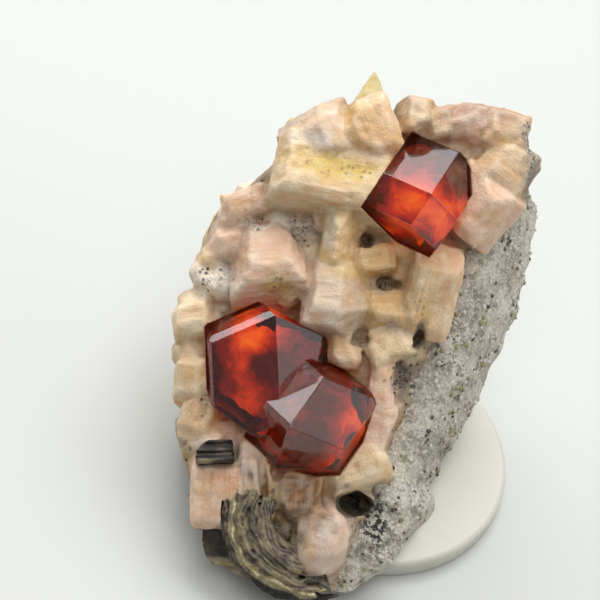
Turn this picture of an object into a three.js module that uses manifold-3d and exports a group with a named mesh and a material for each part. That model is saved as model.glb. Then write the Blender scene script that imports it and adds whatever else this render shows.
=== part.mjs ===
// Garnets in matrix: pale blocky feldspar crystals crowd one face of a grey granular rock. One single
// orange-red garnet sits near the top and a grown-together pair below it, with two books of dark mica
// at the lower end and a small yellow crystal on the upper edge. The rock has a flat cut base and
// rests on a round pale display disc.
//
// The stone is modelled in the frame of its crystal face: x runs across the face, y up it and z out
// of it. One group leans that frame back on the disc. The origin of the part is the middle of the
// disc's underside, with z up. Millimetres.

import * as THREE from "three";
import { ConvexGeometry } from "three/addons/geometries/ConvexGeometry.js";
import { mergeVertices } from "three/addons/utils/BufferGeometryUtils.js";
import Module from "manifold-3d";

const wasm = await Module();
wasm.setup();

// Driving dimensions

const DISC_RADIUS = 12.8;
const DISC_THICKNESS = 2.2;
const DISC_EDGE = 0.5;
const GAP = 0.3;
const FACE_LEAN = 40;
const FACE_ROLL = 15;
// The point in the stone's frame that lies over the middle of the disc, on its top.
const FOOT = new THREE.Vector3(7.3, -14.4, -13);
const GARNET_SIZE = 4.6;
// How far the crystal face is kept clear in front of each garnet.
const CLEAR_ABOVE = 9;
// How much each crystal outgrows the patch it fills, so that neighbours run into each other.
const CROWDING = 1.1;
const BED_THICKNESS = 1.2;
const ROCK_DETAIL = 7;
const ROOM_DETAIL = 7;
const BED_DETAIL = 4;
// How far the rock stays lower where crystals cover it.
const HIDDEN_DROP = 0.8;
// The room beyond the gap that the facets of rock and bed need to stay clear of each other.
const FACET_ROOM = 0.7;
// How deep the edge of the bed sinks into the rock, and how rough the rock's bare side is.
const BED_SINK = 0.6;
const ROUGHNESS = 0.22;

// Small helpers

const rad = THREE.MathUtils.degToRad;

// A repeatable number from 0 to 1 for each pair of a seed and a count.
function chance(seed, count) {
  const wave = Math.sin(seed * 127.1 + count * 311.7) * 43758.5453;
  return wave - Math.floor(wave);
}

// A unit vector: turn is its angle in the crystal face, lean its angle away from straight out.
function direction(turn, lean) {
  const across = Math.sin(rad(lean));
  return new THREE.Vector3(
    across * Math.cos(rad(turn)),
    across * Math.sin(rad(turn)),
    Math.cos(rad(lean)),
  );
}

// The one point that lies on three planes, or null where two of them are nearly parallel.
function meetingPoint(a, b, c) {
  const bc = new THREE.Vector3().crossVectors(b.normal, c.normal);
  const volume = a.normal.dot(bc);
  if (Math.abs(volume) < 1e-4) {
    return null;
  }
  const ca = new THREE.Vector3().crossVectors(c.normal, a.normal);
  const ab = new THREE.Vector3().crossVectors(a.normal, b.normal);
  return bc
    .multiplyScalar(a.reach)
    .addScaledVector(ca, b.reach)
    .addScaledVector(ab, c.reach)
    .divideScalar(volume);
}

// The convex body inside a list of planes, each with a unit normal and a reach along it.
function convexBody(planes) {
  const corners = [];
  for (let i = 0; i < planes.length; i += 1) {
    for (let j = i + 1; j < planes.length; j += 1) {
      for (let k = j + 1; k < planes.length; k += 1) {
        const corner = meetingPoint(planes[i], planes[j], planes[k]);
        if (corner && planes.every((p) => p.normal.dot(corner) < p.reach + 1e-6)) {
          corners.push(corner);
        }
      }
    }
  }
  const apart = (c, i) => corners.slice(0, i).every((other) => other.distanceTo(c) > 0.03);
  return new ConvexGeometry(corners.filter(apart));
}

// A closed geometry as a solid that can be joined and cut.
function solid(geometry) {
  const bare = new THREE.BufferGeometry();
  const loose = geometry.index ? geometry.toNonIndexed() : geometry;
  bare.setAttribute("position", loose.getAttribute("position"));
  const merged = mergeVertices(bare, 1e-4);
  return new wasm.Manifold(
    new wasm.Mesh({
      numProp: 3,
      vertProperties: new Float32Array(merged.getAttribute("position").array),
      triVerts: new Uint32Array(merged.index.array),
    }),
  );
}

// A solid back as a three.js geometry.
function geometryOf(body) {
  const mesh = body.getMesh();
  const geometry = new THREE.BufferGeometry();
  geometry.setAttribute("position", new THREE.BufferAttribute(mesh.vertProperties, 3));
  geometry.setIndex(new THREE.BufferAttribute(mesh.triVerts, 1));
  return geometry;
}

function joined(bodies) {
  return bodies.reduce((whole, body) => whole.add(body));
}

// The biggest of the bodies that a cut leaves, without the crumbs beside it.
function withoutCrumbs(body) {
  return body.decompose().reduce((a, b) => (a.volume() > b.volume() ? a : b));
}

function named(name, geometry, color, roughness) {
  const flat = geometry.index ? geometry.toNonIndexed() : geometry;
  flat.computeVertexNormals();
  const mesh = new THREE.Mesh(
    flat,
    new THREE.MeshStandardMaterial({ color, roughness, metalness: 0 }),
  );
  mesh.name = name;
  return mesh;
}

// Garnets
// Each is a rhombic dodecahedron that grew unevenly. Its twelve faces are named round the four-fold
// corner that points out of the rock: f0 to f3 meet at that corner, e0 to e3 stand round the waist
// and b0 to b3 face back. more moves a face outwards, bevels are narrow faces along an edge, and
// trims are the planes where growth stopped against a neighbour.

const garnets = {
  upper: {
    corner: [11.6, 9.3, 5],
    axis: [55.6, 11.5],
    spin: 55.7,
    more: { e0: 1.3, b0: 1.6, e2: -1.7, e3: -1.4 },
    bevels: [["f0", "e0", 0.25]],
    trims: [{ turn: 2, lean: 82, at: [14.75, 11, 2] }],
  },
  left: {
    corner: [-2.2, -1.4, 2.3],
    axis: [83, 35.6],
    spin: -87.5,
    more: { f2: 0.4, e2: -1.0, e3: 1.2, e0: 3.2, b3: 1.1, e1: 0.3 },
    bevels: [
      ["f3", "f2", 0.8],
      ["f3", "e3", 0.5],
      ["f2", "e3", 0.5],
    ],
    trims: [{ turn: 61, lean: 92, at: [-1.85, -1.05, 1] }],
  },
  right: {
    corner: [-1, -11.2, 5],
    axis: [193, 17],
    spin: 59.4,
    more: { e0: 0.45, e3: 0.15 },
    bevels: [
      ["f0", "f1", 0.6],
      ["f0", "e0", 0.5],
      ["f3", "e0", 0.7],
    ],
    trims: [{ turn: 268, lean: 76, at: [0.8, -15.1, 1.1] }],
  },
};

// The planes of one garnet, all moved outwards by grow.
function garnetPlanes({ corner, axis, spin, more, bevels, trims }, grow) {
  const out = direction(axis[0], axis[1]);
  const side = new THREE.Vector3(Math.cos(rad(spin)), Math.sin(rad(spin)), 0);
  side.addScaledVector(out, -side.dot(out)).normalize();
  const other = new THREE.Vector3().crossVectors(out, side);
  const waist = [side, other, side.clone().negate(), other.clone().negate()];
  const normals = {};
  waist.forEach((edge, i) => {
    const between = edge.clone().add(waist[(i + 1) % 4]).normalize();
    normals[`f${i}`] = out.clone().add(between).normalize();
    normals[`e${i}`] = edge;
    normals[`b${i}`] = between.clone().sub(out).normalize();
  });
  const reach = (face) => GARNET_SIZE + (more[face] ?? 0);
  const centre = new THREE.Vector3(...corner).addScaledVector(out, -GARNET_SIZE * Math.SQRT2);
  const planes = Object.keys(normals).map((face) => ({
    normal: normals[face],
    reach: reach(face) + grow,
  }));
  bevels.forEach(([a, b, width]) => {
    const normal = normals[a].clone().add(normals[b]);
    const edge = (reach(a) + reach(b)) / normal.length();
    planes.push({ normal: normal.normalize(), reach: edge - width / 3.46 + grow });
  });
  trims.forEach(({ turn, lean, at }) => {
    const normal = direction(turn, lean);
    const edge = normal.dot(new THREE.Vector3(...at).sub(centre));
    planes.push({ normal, reach: edge + grow });
  });
  return { planes, centre };
}

function garnet(plan, grow) {
  const { planes, centre } = garnetPlanes(plan, grow);
  return solid(convexBody(planes).translate(centre.x, centre.y, centre.z));
}

// The room that a garnet takes from its surroundings: its shape with a gap round it, drawn out of
// the crystal face, because nothing grew over the garnets.
function garnetRoom(plan) {
  const { planes, centre } = garnetPlanes(plan, GAP);
  const shell = convexBody(planes).translate(centre.x, centre.y, centre.z);
  const position = mergeVertices(shell.deleteAttribute("normal"), 1e-3).getAttribute("position");
  const points = [];
  for (let i = 0; i < position.count; i += 1) {
    const near = new THREE.Vector3().fromBufferAttribute(position, i);
    points.push(near, near.clone().setZ(near.z + CLEAR_ABOVE));
  }
  return solid(new ConvexGeometry(points));
}

// Feldspar
// A block is a short prism with bevelled long edges and sloping ends. at is its middle, size its
// length, width and depth. turn holds the way its length points in the face, how far that end rises
// out of the face and how far the block rolls about its length. A lump has many small faces instead.

const blocks = [
  { part: "long prism", at: [3.1, 10.7, -1.6], size: [10.4, 6.0, 5.6], turn: [-12, 0, -28] },
  { part: "back twin, left half", at: [1.9, 14.5, -2.4], size: [5.4, 5.6, 5.2], turn: [-62, 8, 24] },
  { part: "back twin, right half", at: [6.1, 15.2, -2.2], size: [5.4, 4.6, 5.4], turn: [-68, 6, -12] },
  { part: "ridged block", at: [10.5, 16.3, -4.0], size: [3.6, 3.4, 4.6], turn: [-10, 0, -20] },
  { part: "cream block at the top", at: [13.0, 15.8, -4.0], size: [3.4, 2.8, 4.2], turn: [10, 0, -16] },
  { part: "upper right block", at: [18.2, 15.1, -3.0], size: [4.6, 3.4, 4.6], turn: [-14, -8, -22] },
  { part: "right wedge", at: [18.9, 11.8, -3.0], size: [5.6, 4.8, 5.0], turn: [-36, -14, -12] },
  { part: "block by the upper garnet", at: [16.2, 8.5, -2.6], size: [6.2, 5.4, 6.0], turn: [-40, -6, 10] },
  { part: "rough block on the left", at: [-4.7, 8.4, -3.2], size: [4.2, 2.6, 4.2], turn: [22, 6, -16] },
  { part: "big left block", at: [-3.0, 3.0, -2.2], size: [6.4, 5.8, 6.0], turn: [4, 0, -36] },
  { part: "centre block", at: [3.6, 0.0, -1.8], size: [6.0, 6.2, 6.2], turn: [-6, 4, -22] },
  { part: "block under the centre", at: [4.0, -4.6, -2.6], size: [2.8, 3.6, 4.4], turn: [0, 0, -14] },
  { part: "upper centre block", at: [3.7, 5.6, -2.2], size: [3.2, 5.0, 5.4], turn: [-8, 0, 10] },
  { part: "small ochre block", at: [6.9, 3.4, -2.0], size: [3.2, 2.2, 3.4], turn: [10, 0, -18] },
  { part: "right centre block", at: [11.5, 1.0, -2.6], size: [8.0, 4.4, 6.0], turn: [76, 6, 14] },
  { part: "ochre block", at: [8.0, -1.3, -2.0], size: [3.8, 3.2, 4.2], turn: [-6, 0, -30] },
  { part: "cream block", at: [8.2, -4.2, -2.4], size: [4.2, 3.0, 4.4], turn: [24, 0, -14] },
  { part: "pillar", at: [7.4, -7.8, -2.8], size: [4.4, 2.2, 4.6], turn: [84, 0, 0] },
  { part: "grooved block", at: [5.2, -15.4, -2.4], size: [5.4, 3.8, 5.0], turn: [22, 0, -18] },
  { part: "tan prism", at: [-0.3, -17.8, -2.4], size: [4.8, 3.8, 5.0], turn: [88, -8, 8] },
  { part: "left lower block", at: [-6.7, -18.3, -3.2], size: [6.4, 5.2, 6.4], turn: [88, -6, -10] },
  { part: "block beside the mica book", at: [-4.5, -15.0, -2.8], size: [4.2, 2.8, 4.6], turn: [80, 0, 6] },
  { part: "grooved left block", at: [-9.1, -7.6, -4.2], size: [4.6, 3.4, 5.4], turn: [86, 0, -22] },
  { part: "lower left block", at: [-8.8, -10.8, -4.0], size: [3.4, 2.8, 5.0], turn: [70, 0, -18] },
  { part: "block left of the pair", at: [-9.6, -2.3, -4.0], size: [3.6, 2.8, 5.0], turn: [6, 0, -20] },
  { part: "wedge above the pair", at: [-0.8, 0.8, -2.6], size: [3.0, 2.6, 4.0], turn: [40, 0, -20] },
  { part: "block under the pair", at: [1.8, -14.0, -3.2], size: [7.0, 4.4, 4.6], turn: [4, 0, -6] },
  { part: "block right of the pair", at: [6.6, -11.6, -3.0], size: [4.6, 3.0, 5.0], turn: [70, 0, 0] },
];

const lumps = [
  { part: "pink lump", at: [15.9, 15.8, -3.4], size: [5.8, 3.8, 4.8] },
  { part: "white lump", at: [16.3, 14.0, -3.4], size: [2.2, 2.0, 3.0] },
  { part: "cream lump beside it", at: [14.4, 13.8, -3.8], size: [2.2, 2.0, 3.0] },
  { part: "pale rounded block", at: [1.9, -21.8, -3.0], size: [5.6, 6.8, 6.2] },
  { part: "knob left of centre", at: [5.4, 7.1, -2.0], size: [2.6, 2.0, 2.8] },
  { part: "first lump on the left", at: [-5.8, 7.2, -3.6], size: [3.4, 2.6, 4.0] },
  { part: "second lump on the left", at: [-6.2, 5.1, -3.6], size: [4.2, 3.2, 4.6] },
  { part: "third lump on the left", at: [-7.9, 3.8, -4.2], size: [3.0, 2.2, 4.0] },
  { part: "fourth lump on the left", at: [-8.9, 2.4, -4.6], size: [2.4, 2.2, 4.0] },
  { part: "white lump with specks", at: [-7.4, 1.4, -3.8], size: [4.4, 3.2, 4.6] },
  { part: "lump above the pair", at: [-9.6, -0.4, -4.6], size: [3.2, 2.6, 4.4] },
  { part: "lump beside the pair", at: [-10.1, -4.9, -4.6], size: [3.2, 2.8, 4.4] },
  { part: "tan lump", at: [-8.8, -12.9, -4.0], size: [2.2, 2.6, 4.0] },
  { part: "shoulder above the mica book", at: [-7.6, -12.8, -3.2], size: [4.0, 2.8, 4.2] },
  { part: "lump between the blocks", at: [0.6, 4.6, -2.8], size: [3.2, 3.2, 3.6] },
  { part: "lump under the upper garnet", at: [9.2, 4.6, -2.4], size: [3.0, 2.6, 3.4] },
];

// Small crystals that fill the hollows between the blocks: rows of them with a seeded jitter.
const fillers = [
  { count: 5, from: [-3.6, 6.4, -2.6], to: [2.0, 7.4, -2.4], size: 2.2, seed: 5 },
  { count: 4, from: [8.4, 6.2, -2.6], to: [9.8, -2.2, -2.6], size: 2.2, seed: 7 },
  { count: 4, from: [12.4, 13.9, -4.0], to: [17.4, 12.8, -3.4], size: 2.0, seed: 13 },
  { count: 5, from: [-2.8, -13.4, -2.8], to: [-3.4, -21.0, -2.2], size: 2.2, seed: 17 },
  { count: 4, from: [5.6, -17.8, -2.4], to: [5.6, -23.6, -2.2], size: 2.4, seed: 19 },
  { count: 3, from: [3.2, 11.9, -2.4], to: [7.8, 12.4, -2.4], size: 2.0, seed: 29 },
];

// How many crystals finish the flanks that turn away, and where their two rows run.
const flanks = [
  { count: 7, from: [-5.4, 8.6, -7.4], to: [-7.0, -12.4, -8.0], size: 3.8, seed: 3 },
  { count: 5, from: [-4.0, 9.4, -10.6], to: [-6.0, -7.0, -10.8], size: 3.2, seed: 11 },
  { count: 6, from: [2.4, 14.6, -6.8], to: [18.4, 14.4, -7.0], size: 3.8, seed: 23 },
  { count: 3, from: [-6.6, -19.0, -5.0], to: [-3.0, -23.4, -3.0], size: 3.8, seed: 37 },
];

function blockPlanes(size, seed) {
  const [l, w, d] = size.map((across) => (across / 2) * CROWDING);
  const bevel = 0.2 * Math.min(w, d) * (0.7 + 0.8 * chance(seed, 1));
  const planes = [
    { normal: new THREE.Vector3(1, 0, 0), reach: l },
    { normal: new THREE.Vector3(-1, 0, 0), reach: l },
    { normal: new THREE.Vector3(0, 1, 0), reach: w },
    { normal: new THREE.Vector3(0, -1, 0), reach: w },
    { normal: new THREE.Vector3(0, 0, 1), reach: d },
    { normal: new THREE.Vector3(0, 0, -1), reach: d },
  ];
  [1, -1].forEach((s, i) => {
    planes.push({
      normal: new THREE.Vector3(0, s, 1).normalize(),
      reach: (w + d) * Math.SQRT1_2 - bevel * (0.6 + 0.8 * chance(seed, 2 + i)),
    });
    const slope = rad(28 + 26 * chance(seed, 4 + i));
    planes.push({
      normal: new THREE.Vector3(s * Math.cos(slope), 0, Math.sin(slope)),
      reach: l * Math.cos(slope) + d * Math.sin(slope) - bevel * (0.9 + 1.6 * chance(seed, 6 + i)),
    });
    const skew = s * (0.5 - chance(seed, 8 + i));
    const corner = new THREE.Vector3(s, skew > 0 ? 1 : -1, 0.5).normalize();
    const tip = Math.abs(corner.x) * l + Math.abs(corner.y) * w + corner.z * d;
    planes.push({ normal: corner, reach: tip - bevel * (1.2 + 2.2 * chance(seed, 10 + i)) });
  });
  return planes;
}

const LUMP_FACES = 11;
// A small crystal keeps its six sides and the first few of the bevels and slopes of a big one.
const SMALL_FACES = 8;

function lumpPlanes(size, seed) {
  const [l, w, d] = size.map((across) => (across / 2) * CROWDING);
  const planes = [];
  for (let i = 0; i < LUMP_FACES; i += 1) {
    const height = 1 - (2 * i + 1) / LUMP_FACES;
    const turn = i * 2.39996 + 6.28 * chance(seed, 0);
    const across = Math.sqrt(1 - height * height);
    const normal = new THREE.Vector3(
      across * Math.cos(turn),
      across * Math.sin(turn),
      height,
    );
    const reach = Math.hypot(normal.x * l, normal.y * w, normal.z * d);
    planes.push({ normal, reach: reach * (0.86 + 0.16 * chance(seed, i + 1)) });
  }
  return planes;
}

function placed(geometry, { at, turn: [heading, tilt, roll] }) {
  const turned = new THREE.Euler(rad(roll), rad(-tilt), rad(heading), "ZYX");
  geometry.applyMatrix4(new THREE.Matrix4().makeRotationFromEuler(turned));
  return geometry.translate(...at);
}

function feldsparBodies() {
  const bodies = blocks.map((b, i) => solid(placed(convexBody(blockPlanes(b.size, i + 1)), b)));
  lumps.forEach((b, i) => {
    bodies.push(solid(convexBody(lumpPlanes(b.size, i + 61)).translate(...b.at)));
  });
  [...flanks, ...fillers].forEach(({ count, from, to, size, seed }) => {
    for (let i = 0; i < count; i += 1) {
      const along = (i + 0.6 * (chance(seed, i) - 0.5)) / (count - 1);
      const at = from.map((f, axis) => f + (to[axis] - f) * along);
      const scale = size * (0.8 + 0.5 * chance(seed, i + 20));
      const spread = [scale, scale * 0.8, scale * 0.9];
      const turn = [
        360 * chance(seed, i + 40),
        50 * (chance(seed, i + 60) - 0.5),
        90 * chance(seed, i + 80),
      ];
      const planes = blockPlanes(spread, seed + i).slice(0, SMALL_FACES);
      bodies.push(solid(placed(convexBody(planes), { at, turn })));
    }
  });
  return bodies;
}

// Rock
// The grey rock is a few rounded masses, each drawn in by flat sides. The distance from a mass's
// centre to its surface blends the reaches of its sides, so the edges between them are round.

const ROUNDING = 10;

const masses = [
  {
    part: "main mass",
    centre: [5.6, -3.0, -7.6],
    lumpiness: 0.3,
    sides: [
      { turn: 0, lean: 0, reach: 4.3 },
      { turn: -22, lean: 52, reach: 9.4 },
      { turn: 12, lean: 82, reach: 18.9 },
      { turn: -31, lean: 86, reach: 12.7 },
      { turn: 62, lean: 80, reach: 22.4 },
      { turn: 92, lean: 84, reach: 19.4 },
      { turn: 130, lean: 86, reach: 16.4 },
      { turn: 172, lean: 86, reach: 15.0 },
      { turn: 215, lean: 86, reach: 16.8 },
      { turn: 255, lean: 84, reach: 22.0 },
      { turn: 300, lean: 84, reach: 17.4 },
      { turn: 10, lean: 146, reach: 12.6 },
      { turn: 180, lean: 160, reach: 8.4 },
      { turn: 90, lean: 130, reach: 15.0 },
    ],
  },
  {
    part: "lower mass",
    centre: [2.6, -19.2, -5.4],
    lumpiness: 0.3,
    sides: [
      { turn: 0, lean: 0, reach: 3.4 },
      { turn: -10, lean: 62, reach: 7.4 },
      { turn: -45, lean: 84, reach: 7.7 },
      { turn: 270, lean: 84, reach: 8.8 },
      { turn: 200, lean: 84, reach: 10.2 },
      { turn: 90, lean: 84, reach: 8.0 },
      { turn: 30, lean: 84, reach: 8.2 },
      { turn: 0, lean: 180, reach: 7.0 },
    ],
  },
];

// A smooth three-way ripple that stands in for the rock's own unevenness.
function ripple(p, scale, seed) {
  const x = p.x / scale + seed;
  const y = p.y / scale - 2 * seed;
  const z = p.z / scale + 3 * seed;
  return (
    Math.sin(1.7 * x + 1.3 * Math.sin(1.9 * y + 0.7 * z)) *
      Math.sin(1.6 * y + 1.2 * Math.sin(1.8 * z - 0.6 * x)) +
    0.6 * Math.sin(1.5 * z + 1.4 * Math.sin(1.7 * x + 0.5 * y))
  );
}

// How far a point is inside the crystal-covered part: positive there, negative on the bare side.
function crustDepth(p) {
  const fromEdge = -0.93 * (p.x - 14.9) + 0.37 * (p.y - 4.4);
  const fromBack = (p.z + 9.5) * 1.2;
  return Math.min(fromEdge, fromBack);
}

// How much of a crystal bed covers the rock at a point: 1 well inside it and 0 on the bare side.
function covered(p) {
  return THREE.MathUtils.smoothstep(crustDepth(p), -1.5, 1.5);
}

// A mass whose surface is moved outwards by what offset gives for each point of it.
function massBody({ centre, sides, lumpiness }, detail, offset) {
  const middle = new THREE.Vector3(...centre);
  const planes = sides.map(({ turn, lean, reach }) => ({ normal: direction(turn, lean), reach }));
  const geometry = mergeVertices(bareSphere(detail), 1e-5);
  const position = geometry.getAttribute("position");
  const point = new THREE.Vector3();
  for (let i = 0; i < position.count; i += 1) {
    const way = point.fromBufferAttribute(position, i).normalize().clone();
    const pull = planes.reduce(
      (sum, { normal, reach }) => sum + Math.max(0, normal.dot(way) / reach) ** ROUNDING,
      0,
    );
    const place = middle.clone().addScaledVector(way, pull ** (-1 / ROUNDING));
    const coarse = lumpiness * ripple(place, 4.2, 1.3);
    place.addScaledVector(way, coarse + offset(place));
    position.setXYZ(i, place.x, place.y, place.z);
  }
  return solid(geometry.toNonIndexed());
}

function bareSphere(detail) {
  const sphere = new THREE.IcosahedronGeometry(1, detail);
  sphere.deleteAttribute("normal");
  sphere.deleteAttribute("uv");
  return sphere;
}

function rockBody() {
  const offset = (p) =>
    (1 - covered(p)) * ROUGHNESS * ripple(p, 1.5, 4.1) - covered(p) * HIDDEN_DROP;
  return joined(masses.map((mass) => massBody(mass, ROCK_DETAIL, offset)));
}

// The same masses with clear space round them, which is cut from what grows on the rock.
function rockRoom() {
  const offset = (p) => GAP + FACET_ROOM - covered(p) * HIDDEN_DROP;
  return joined(masses.map((mass) => massBody(mass, ROOM_DETAIL, offset)));
}

// The layer that the crystals grow from: thick under them, sinking into the rock past their edge.
function bedBody() {
  const offset = (p) => covered(p) * (BED_THICKNESS + BED_SINK) - BED_SINK;
  return joined(masses.map((mass) => massBody(mass, BED_DETAIL, offset)));
}

// Mica

const micaBook = {
  at: [-7.7, -13.9, -1.4],
  size: [3.5, 2.1, 4.4],
  turn: [2, 0, -12],
};
const MICA_BOOK_SHEETS = 5;

// The front mica is a bent book: curved sheets round one centre line, each a little longer.
const micaFan = {
  centre: [0.8, -19.4],
  back: -6.2,
  innerRadius: 3.4,
  sheets: [
    { thickness: 0.7, from: 166, to: 258, front: 0.6 },
    { thickness: 0.7, from: 158, to: 272, front: 0.1 },
    { thickness: 0.8, from: 170, to: 282, front: 0.7 },
    { thickness: 0.8, from: 160, to: 290, front: 0.0 },
    { thickness: 0.8, from: 176, to: 286, front: 0.4 },
    { thickness: 0.9, from: 190, to: 280, front: -0.6 },
  ],
};
const FAN_STEPS = 6;

function micaBookBody(grow) {
  const [length, width, depth] = micaBook.size;
  const sheet = depth / MICA_BOOK_SHEETS;
  const sheets = [];
  for (let i = 0; i < MICA_BOOK_SHEETS; i += 1) {
    const box = new THREE.BoxGeometry(
      length - 0.5 * chance(5, i) + 2 * grow,
      width - 0.35 * chance(6, i) + 2 * grow,
      sheet + 0.04 + (grow > 0 ? 2 * grow : 0),
    );
    box.translate(0.25 * (chance(7, i) - 0.5), 0.2 * (chance(8, i) - 0.5), (i - 2) * sheet);
    sheets.push(solid(placed(box, micaBook)));
  }
  return joined(sheets);
}

function micaFanBody(grow) {
  const [x, y] = micaFan.centre;
  let radius = micaFan.innerRadius;
  const sheets = micaFan.sheets.map(({ thickness, from, to, front }) => {
    const outline = new THREE.Shape();
    const past = (grow / radius) * 57.3;
    const [start, end] = [rad(from - past), rad(to + past)];
    outline.absarc(0, 0, radius + thickness + 0.03 + grow, start, end, false);
    outline.absarc(0, 0, radius - grow, end, start, true);
    radius += thickness;
    const sheet = new THREE.ExtrudeGeometry(outline, {
      depth: front - micaFan.back + 2 * grow,
      bevelEnabled: false,
      curveSegments: FAN_STEPS,
    });
    return solid(sheet.translate(x, y, micaFan.back - grow));
  });
  return joined(sheets);
}

// The yellow crystal is a narrow leaning wedge on the upper edge of the rock.
const tip = {
  apex: [6.9, 21.2, -4.4],
  base: [
    [4.9, 18.3, -3.2],
    [7.8, 18.4, -2.9],
    [8.2, 18.0, -5.2],
    [5.2, 17.9, -5.8],
  ],
  root: 2.4,
};

function tipBody(grow) {
  const apex = new THREE.Vector3(...tip.apex);
  const base = tip.base.map((p) => new THREE.Vector3(...p));
  const foot = base.map((p) => p.clone().add(new THREE.Vector3(0, -tip.root, 0)));
  const middle = base.reduce((sum, p) => sum.add(p), new THREE.Vector3()).divideScalar(4);
  const all = [apex, ...base, ...foot].map((p) => {
    const away = p.clone().sub(middle).normalize();
    return p.clone().addScaledVector(away, 1.4 * grow);
  });
  return solid(new ConvexGeometry(all));
}

// Assembly

const garnetUpper = garnet(garnets.upper, 0);
const garnetPair = garnet(garnets.left, 0).add(garnet(garnets.right, 0));
const sockets = joined([
  garnetRoom(garnets.upper),
  garnetRoom(garnets.left),
  garnetRoom(garnets.right),
  micaBookBody(GAP),
  micaFanBody(GAP),
  tipBody(GAP),
]);

const stone = new THREE.Group();
const lean = new THREE.Matrix4().makeRotationX(rad(FACE_LEAN));
lean.multiply(new THREE.Matrix4().makeRotationZ(rad(FACE_ROLL)));
const foot = FOOT.clone().applyMatrix4(lean);
stone.rotation.setFromRotationMatrix(lean);
stone.position.set(-foot.x, -foot.y, DISC_THICKNESS - foot.z);
stone.updateMatrix();

// Everything under the cut base, as one box in the stone's own frame.
const BELOW = 60;
const under = new THREE.BoxGeometry(2 * BELOW, 2 * BELOW, BELOW);
under.translate(0, 0, DISC_THICKNESS + GAP - BELOW / 2);
under.applyMatrix4(stone.matrix.clone().invert());
const belowBase = solid(under);

const rock = withoutCrumbs(rockBody().subtract(sockets).subtract(belowBase));
const crust = withoutCrumbs(
  joined([bedBody(), ...feldsparBodies()])
    .subtract(rockRoom())
    .subtract(sockets)
    .subtract(belowBase),
);
const book = micaBookBody(0).subtract(belowBase);
const fan = micaFanBody(0).subtract(belowBase);

stone.add(
  named("garnet_upper", geometryOf(garnetUpper), "#a8260c", 0.08),
  named("garnet_pair", geometryOf(garnetPair), "#96200c", 0.08),
  named("feldspar_crystals", geometryOf(crust), "#d9c3a8", 0.7),
  named("rock_matrix", geometryOf(rock), "#b3aca0", 0.85),
  named("mica_book_left", geometryOf(book), "#4a4a3a", 0.35),
  named("mica_fan_front", geometryOf(fan), "#6e6c58", 0.35),
  named("yellow_crystal", geometryOf(tipBody(0)), "#e0d59a", 0.5),
);

// Display disc: a flat round plate with a softened rim, turned about its own axis.
const discOutline = [
  new THREE.Vector2(0, 0),
  new THREE.Vector2(DISC_RADIUS - DISC_EDGE, 0),
  new THREE.Vector2(DISC_RADIUS, DISC_EDGE),
  new THREE.Vector2(DISC_RADIUS, DISC_THICKNESS - DISC_EDGE),
  new THREE.Vector2(DISC_RADIUS - DISC_EDGE, DISC_THICKNESS),
  new THREE.Vector2(0, DISC_THICKNESS),
];
const discShape = new THREE.LatheGeometry(discOutline, 64).rotateX(Math.PI / 2);

const part = new THREE.Group();
part.add(stone, named("display_disc", discShape, "#e2ddcf", 0.45));

export default part;
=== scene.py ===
# %% [markdown]
# # Garnets on feldspar, leaning on a display disc
# A plain solid model says where every part of a mineral specimen is. This lesson gives each part the
# surface and the colour of the real thing: clear orange-red garnets, blocky cream feldspar, grey
# granular rock, mica that splits into leaves, and a milky disc underneath.
# The first cell loads the solid model, which stays fixed.

import itertools
import math

import bmesh
import bpy
import numpy as np
from mathutils import Matrix, Vector


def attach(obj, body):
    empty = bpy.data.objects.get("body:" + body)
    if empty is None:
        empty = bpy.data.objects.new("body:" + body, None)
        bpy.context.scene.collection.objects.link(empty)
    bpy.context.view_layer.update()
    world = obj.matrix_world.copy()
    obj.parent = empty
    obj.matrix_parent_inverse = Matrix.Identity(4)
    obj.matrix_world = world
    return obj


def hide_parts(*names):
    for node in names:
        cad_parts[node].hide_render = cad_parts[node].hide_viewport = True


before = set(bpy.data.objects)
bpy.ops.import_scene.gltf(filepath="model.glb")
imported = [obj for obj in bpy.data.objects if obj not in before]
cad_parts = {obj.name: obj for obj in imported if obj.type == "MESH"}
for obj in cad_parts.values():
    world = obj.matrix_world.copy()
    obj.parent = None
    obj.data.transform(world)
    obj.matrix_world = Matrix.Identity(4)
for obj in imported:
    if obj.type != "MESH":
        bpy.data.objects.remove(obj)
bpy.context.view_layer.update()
print("nodes:", sorted(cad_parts))

# %% [markdown]
# The stone leans back on its disc, but it is easier to model it lying flat, with x across its crystal
# face, y up it and z out of it, in millimetres. One matrix then takes every finished mesh from that
# flat frame to metres on the disc.

# %% The stone's own frame
MM = 0.001
DISC_THICKNESS = 2.2
FACE_LEAN = math.radians(40)
FACE_ROLL = math.radians(15)
FOOT = Vector((7.3, -14.4, -13))

face_turn = Matrix.Rotation(FACE_LEAN, 4, "X") @ Matrix.Rotation(FACE_ROLL, 4, "Z")
on_disc = Matrix.Translation((0, 0, DISC_THICKNESS)) @ face_turn @ Matrix.Translation(-FOOT)
metres = Matrix.Diagonal((MM, MM, MM, 1))
stone_to_row = metres @ on_disc
print("the crystal face's middle is at", [round(x, 4) for x in stone_to_row @ Vector()])

# %% [markdown]
# The camera looks straight at the crystal face from twenty centimetres with a long lens, so the stone
# is seen from above at fifty degrees and hardly narrows with distance.

# %% Camera
VIEW_DISTANCE = 202.5
LENS = 135
NEAREST_SEEN = 0.01

camera = bpy.data.objects.new("camera", bpy.data.cameras.new("camera"))
bpy.context.scene.collection.objects.link(camera)
camera.matrix_world = Matrix.Translation(stone_to_row @ Vector((0, 0, VIEW_DISTANCE))) @ face_turn
camera.data.lens = LENS
camera.data.clip_start = NEAREST_SEEN
bpy.context.scene.camera = camera
print("camera stands at", [round(x, 3) for x in camera.location])

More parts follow.
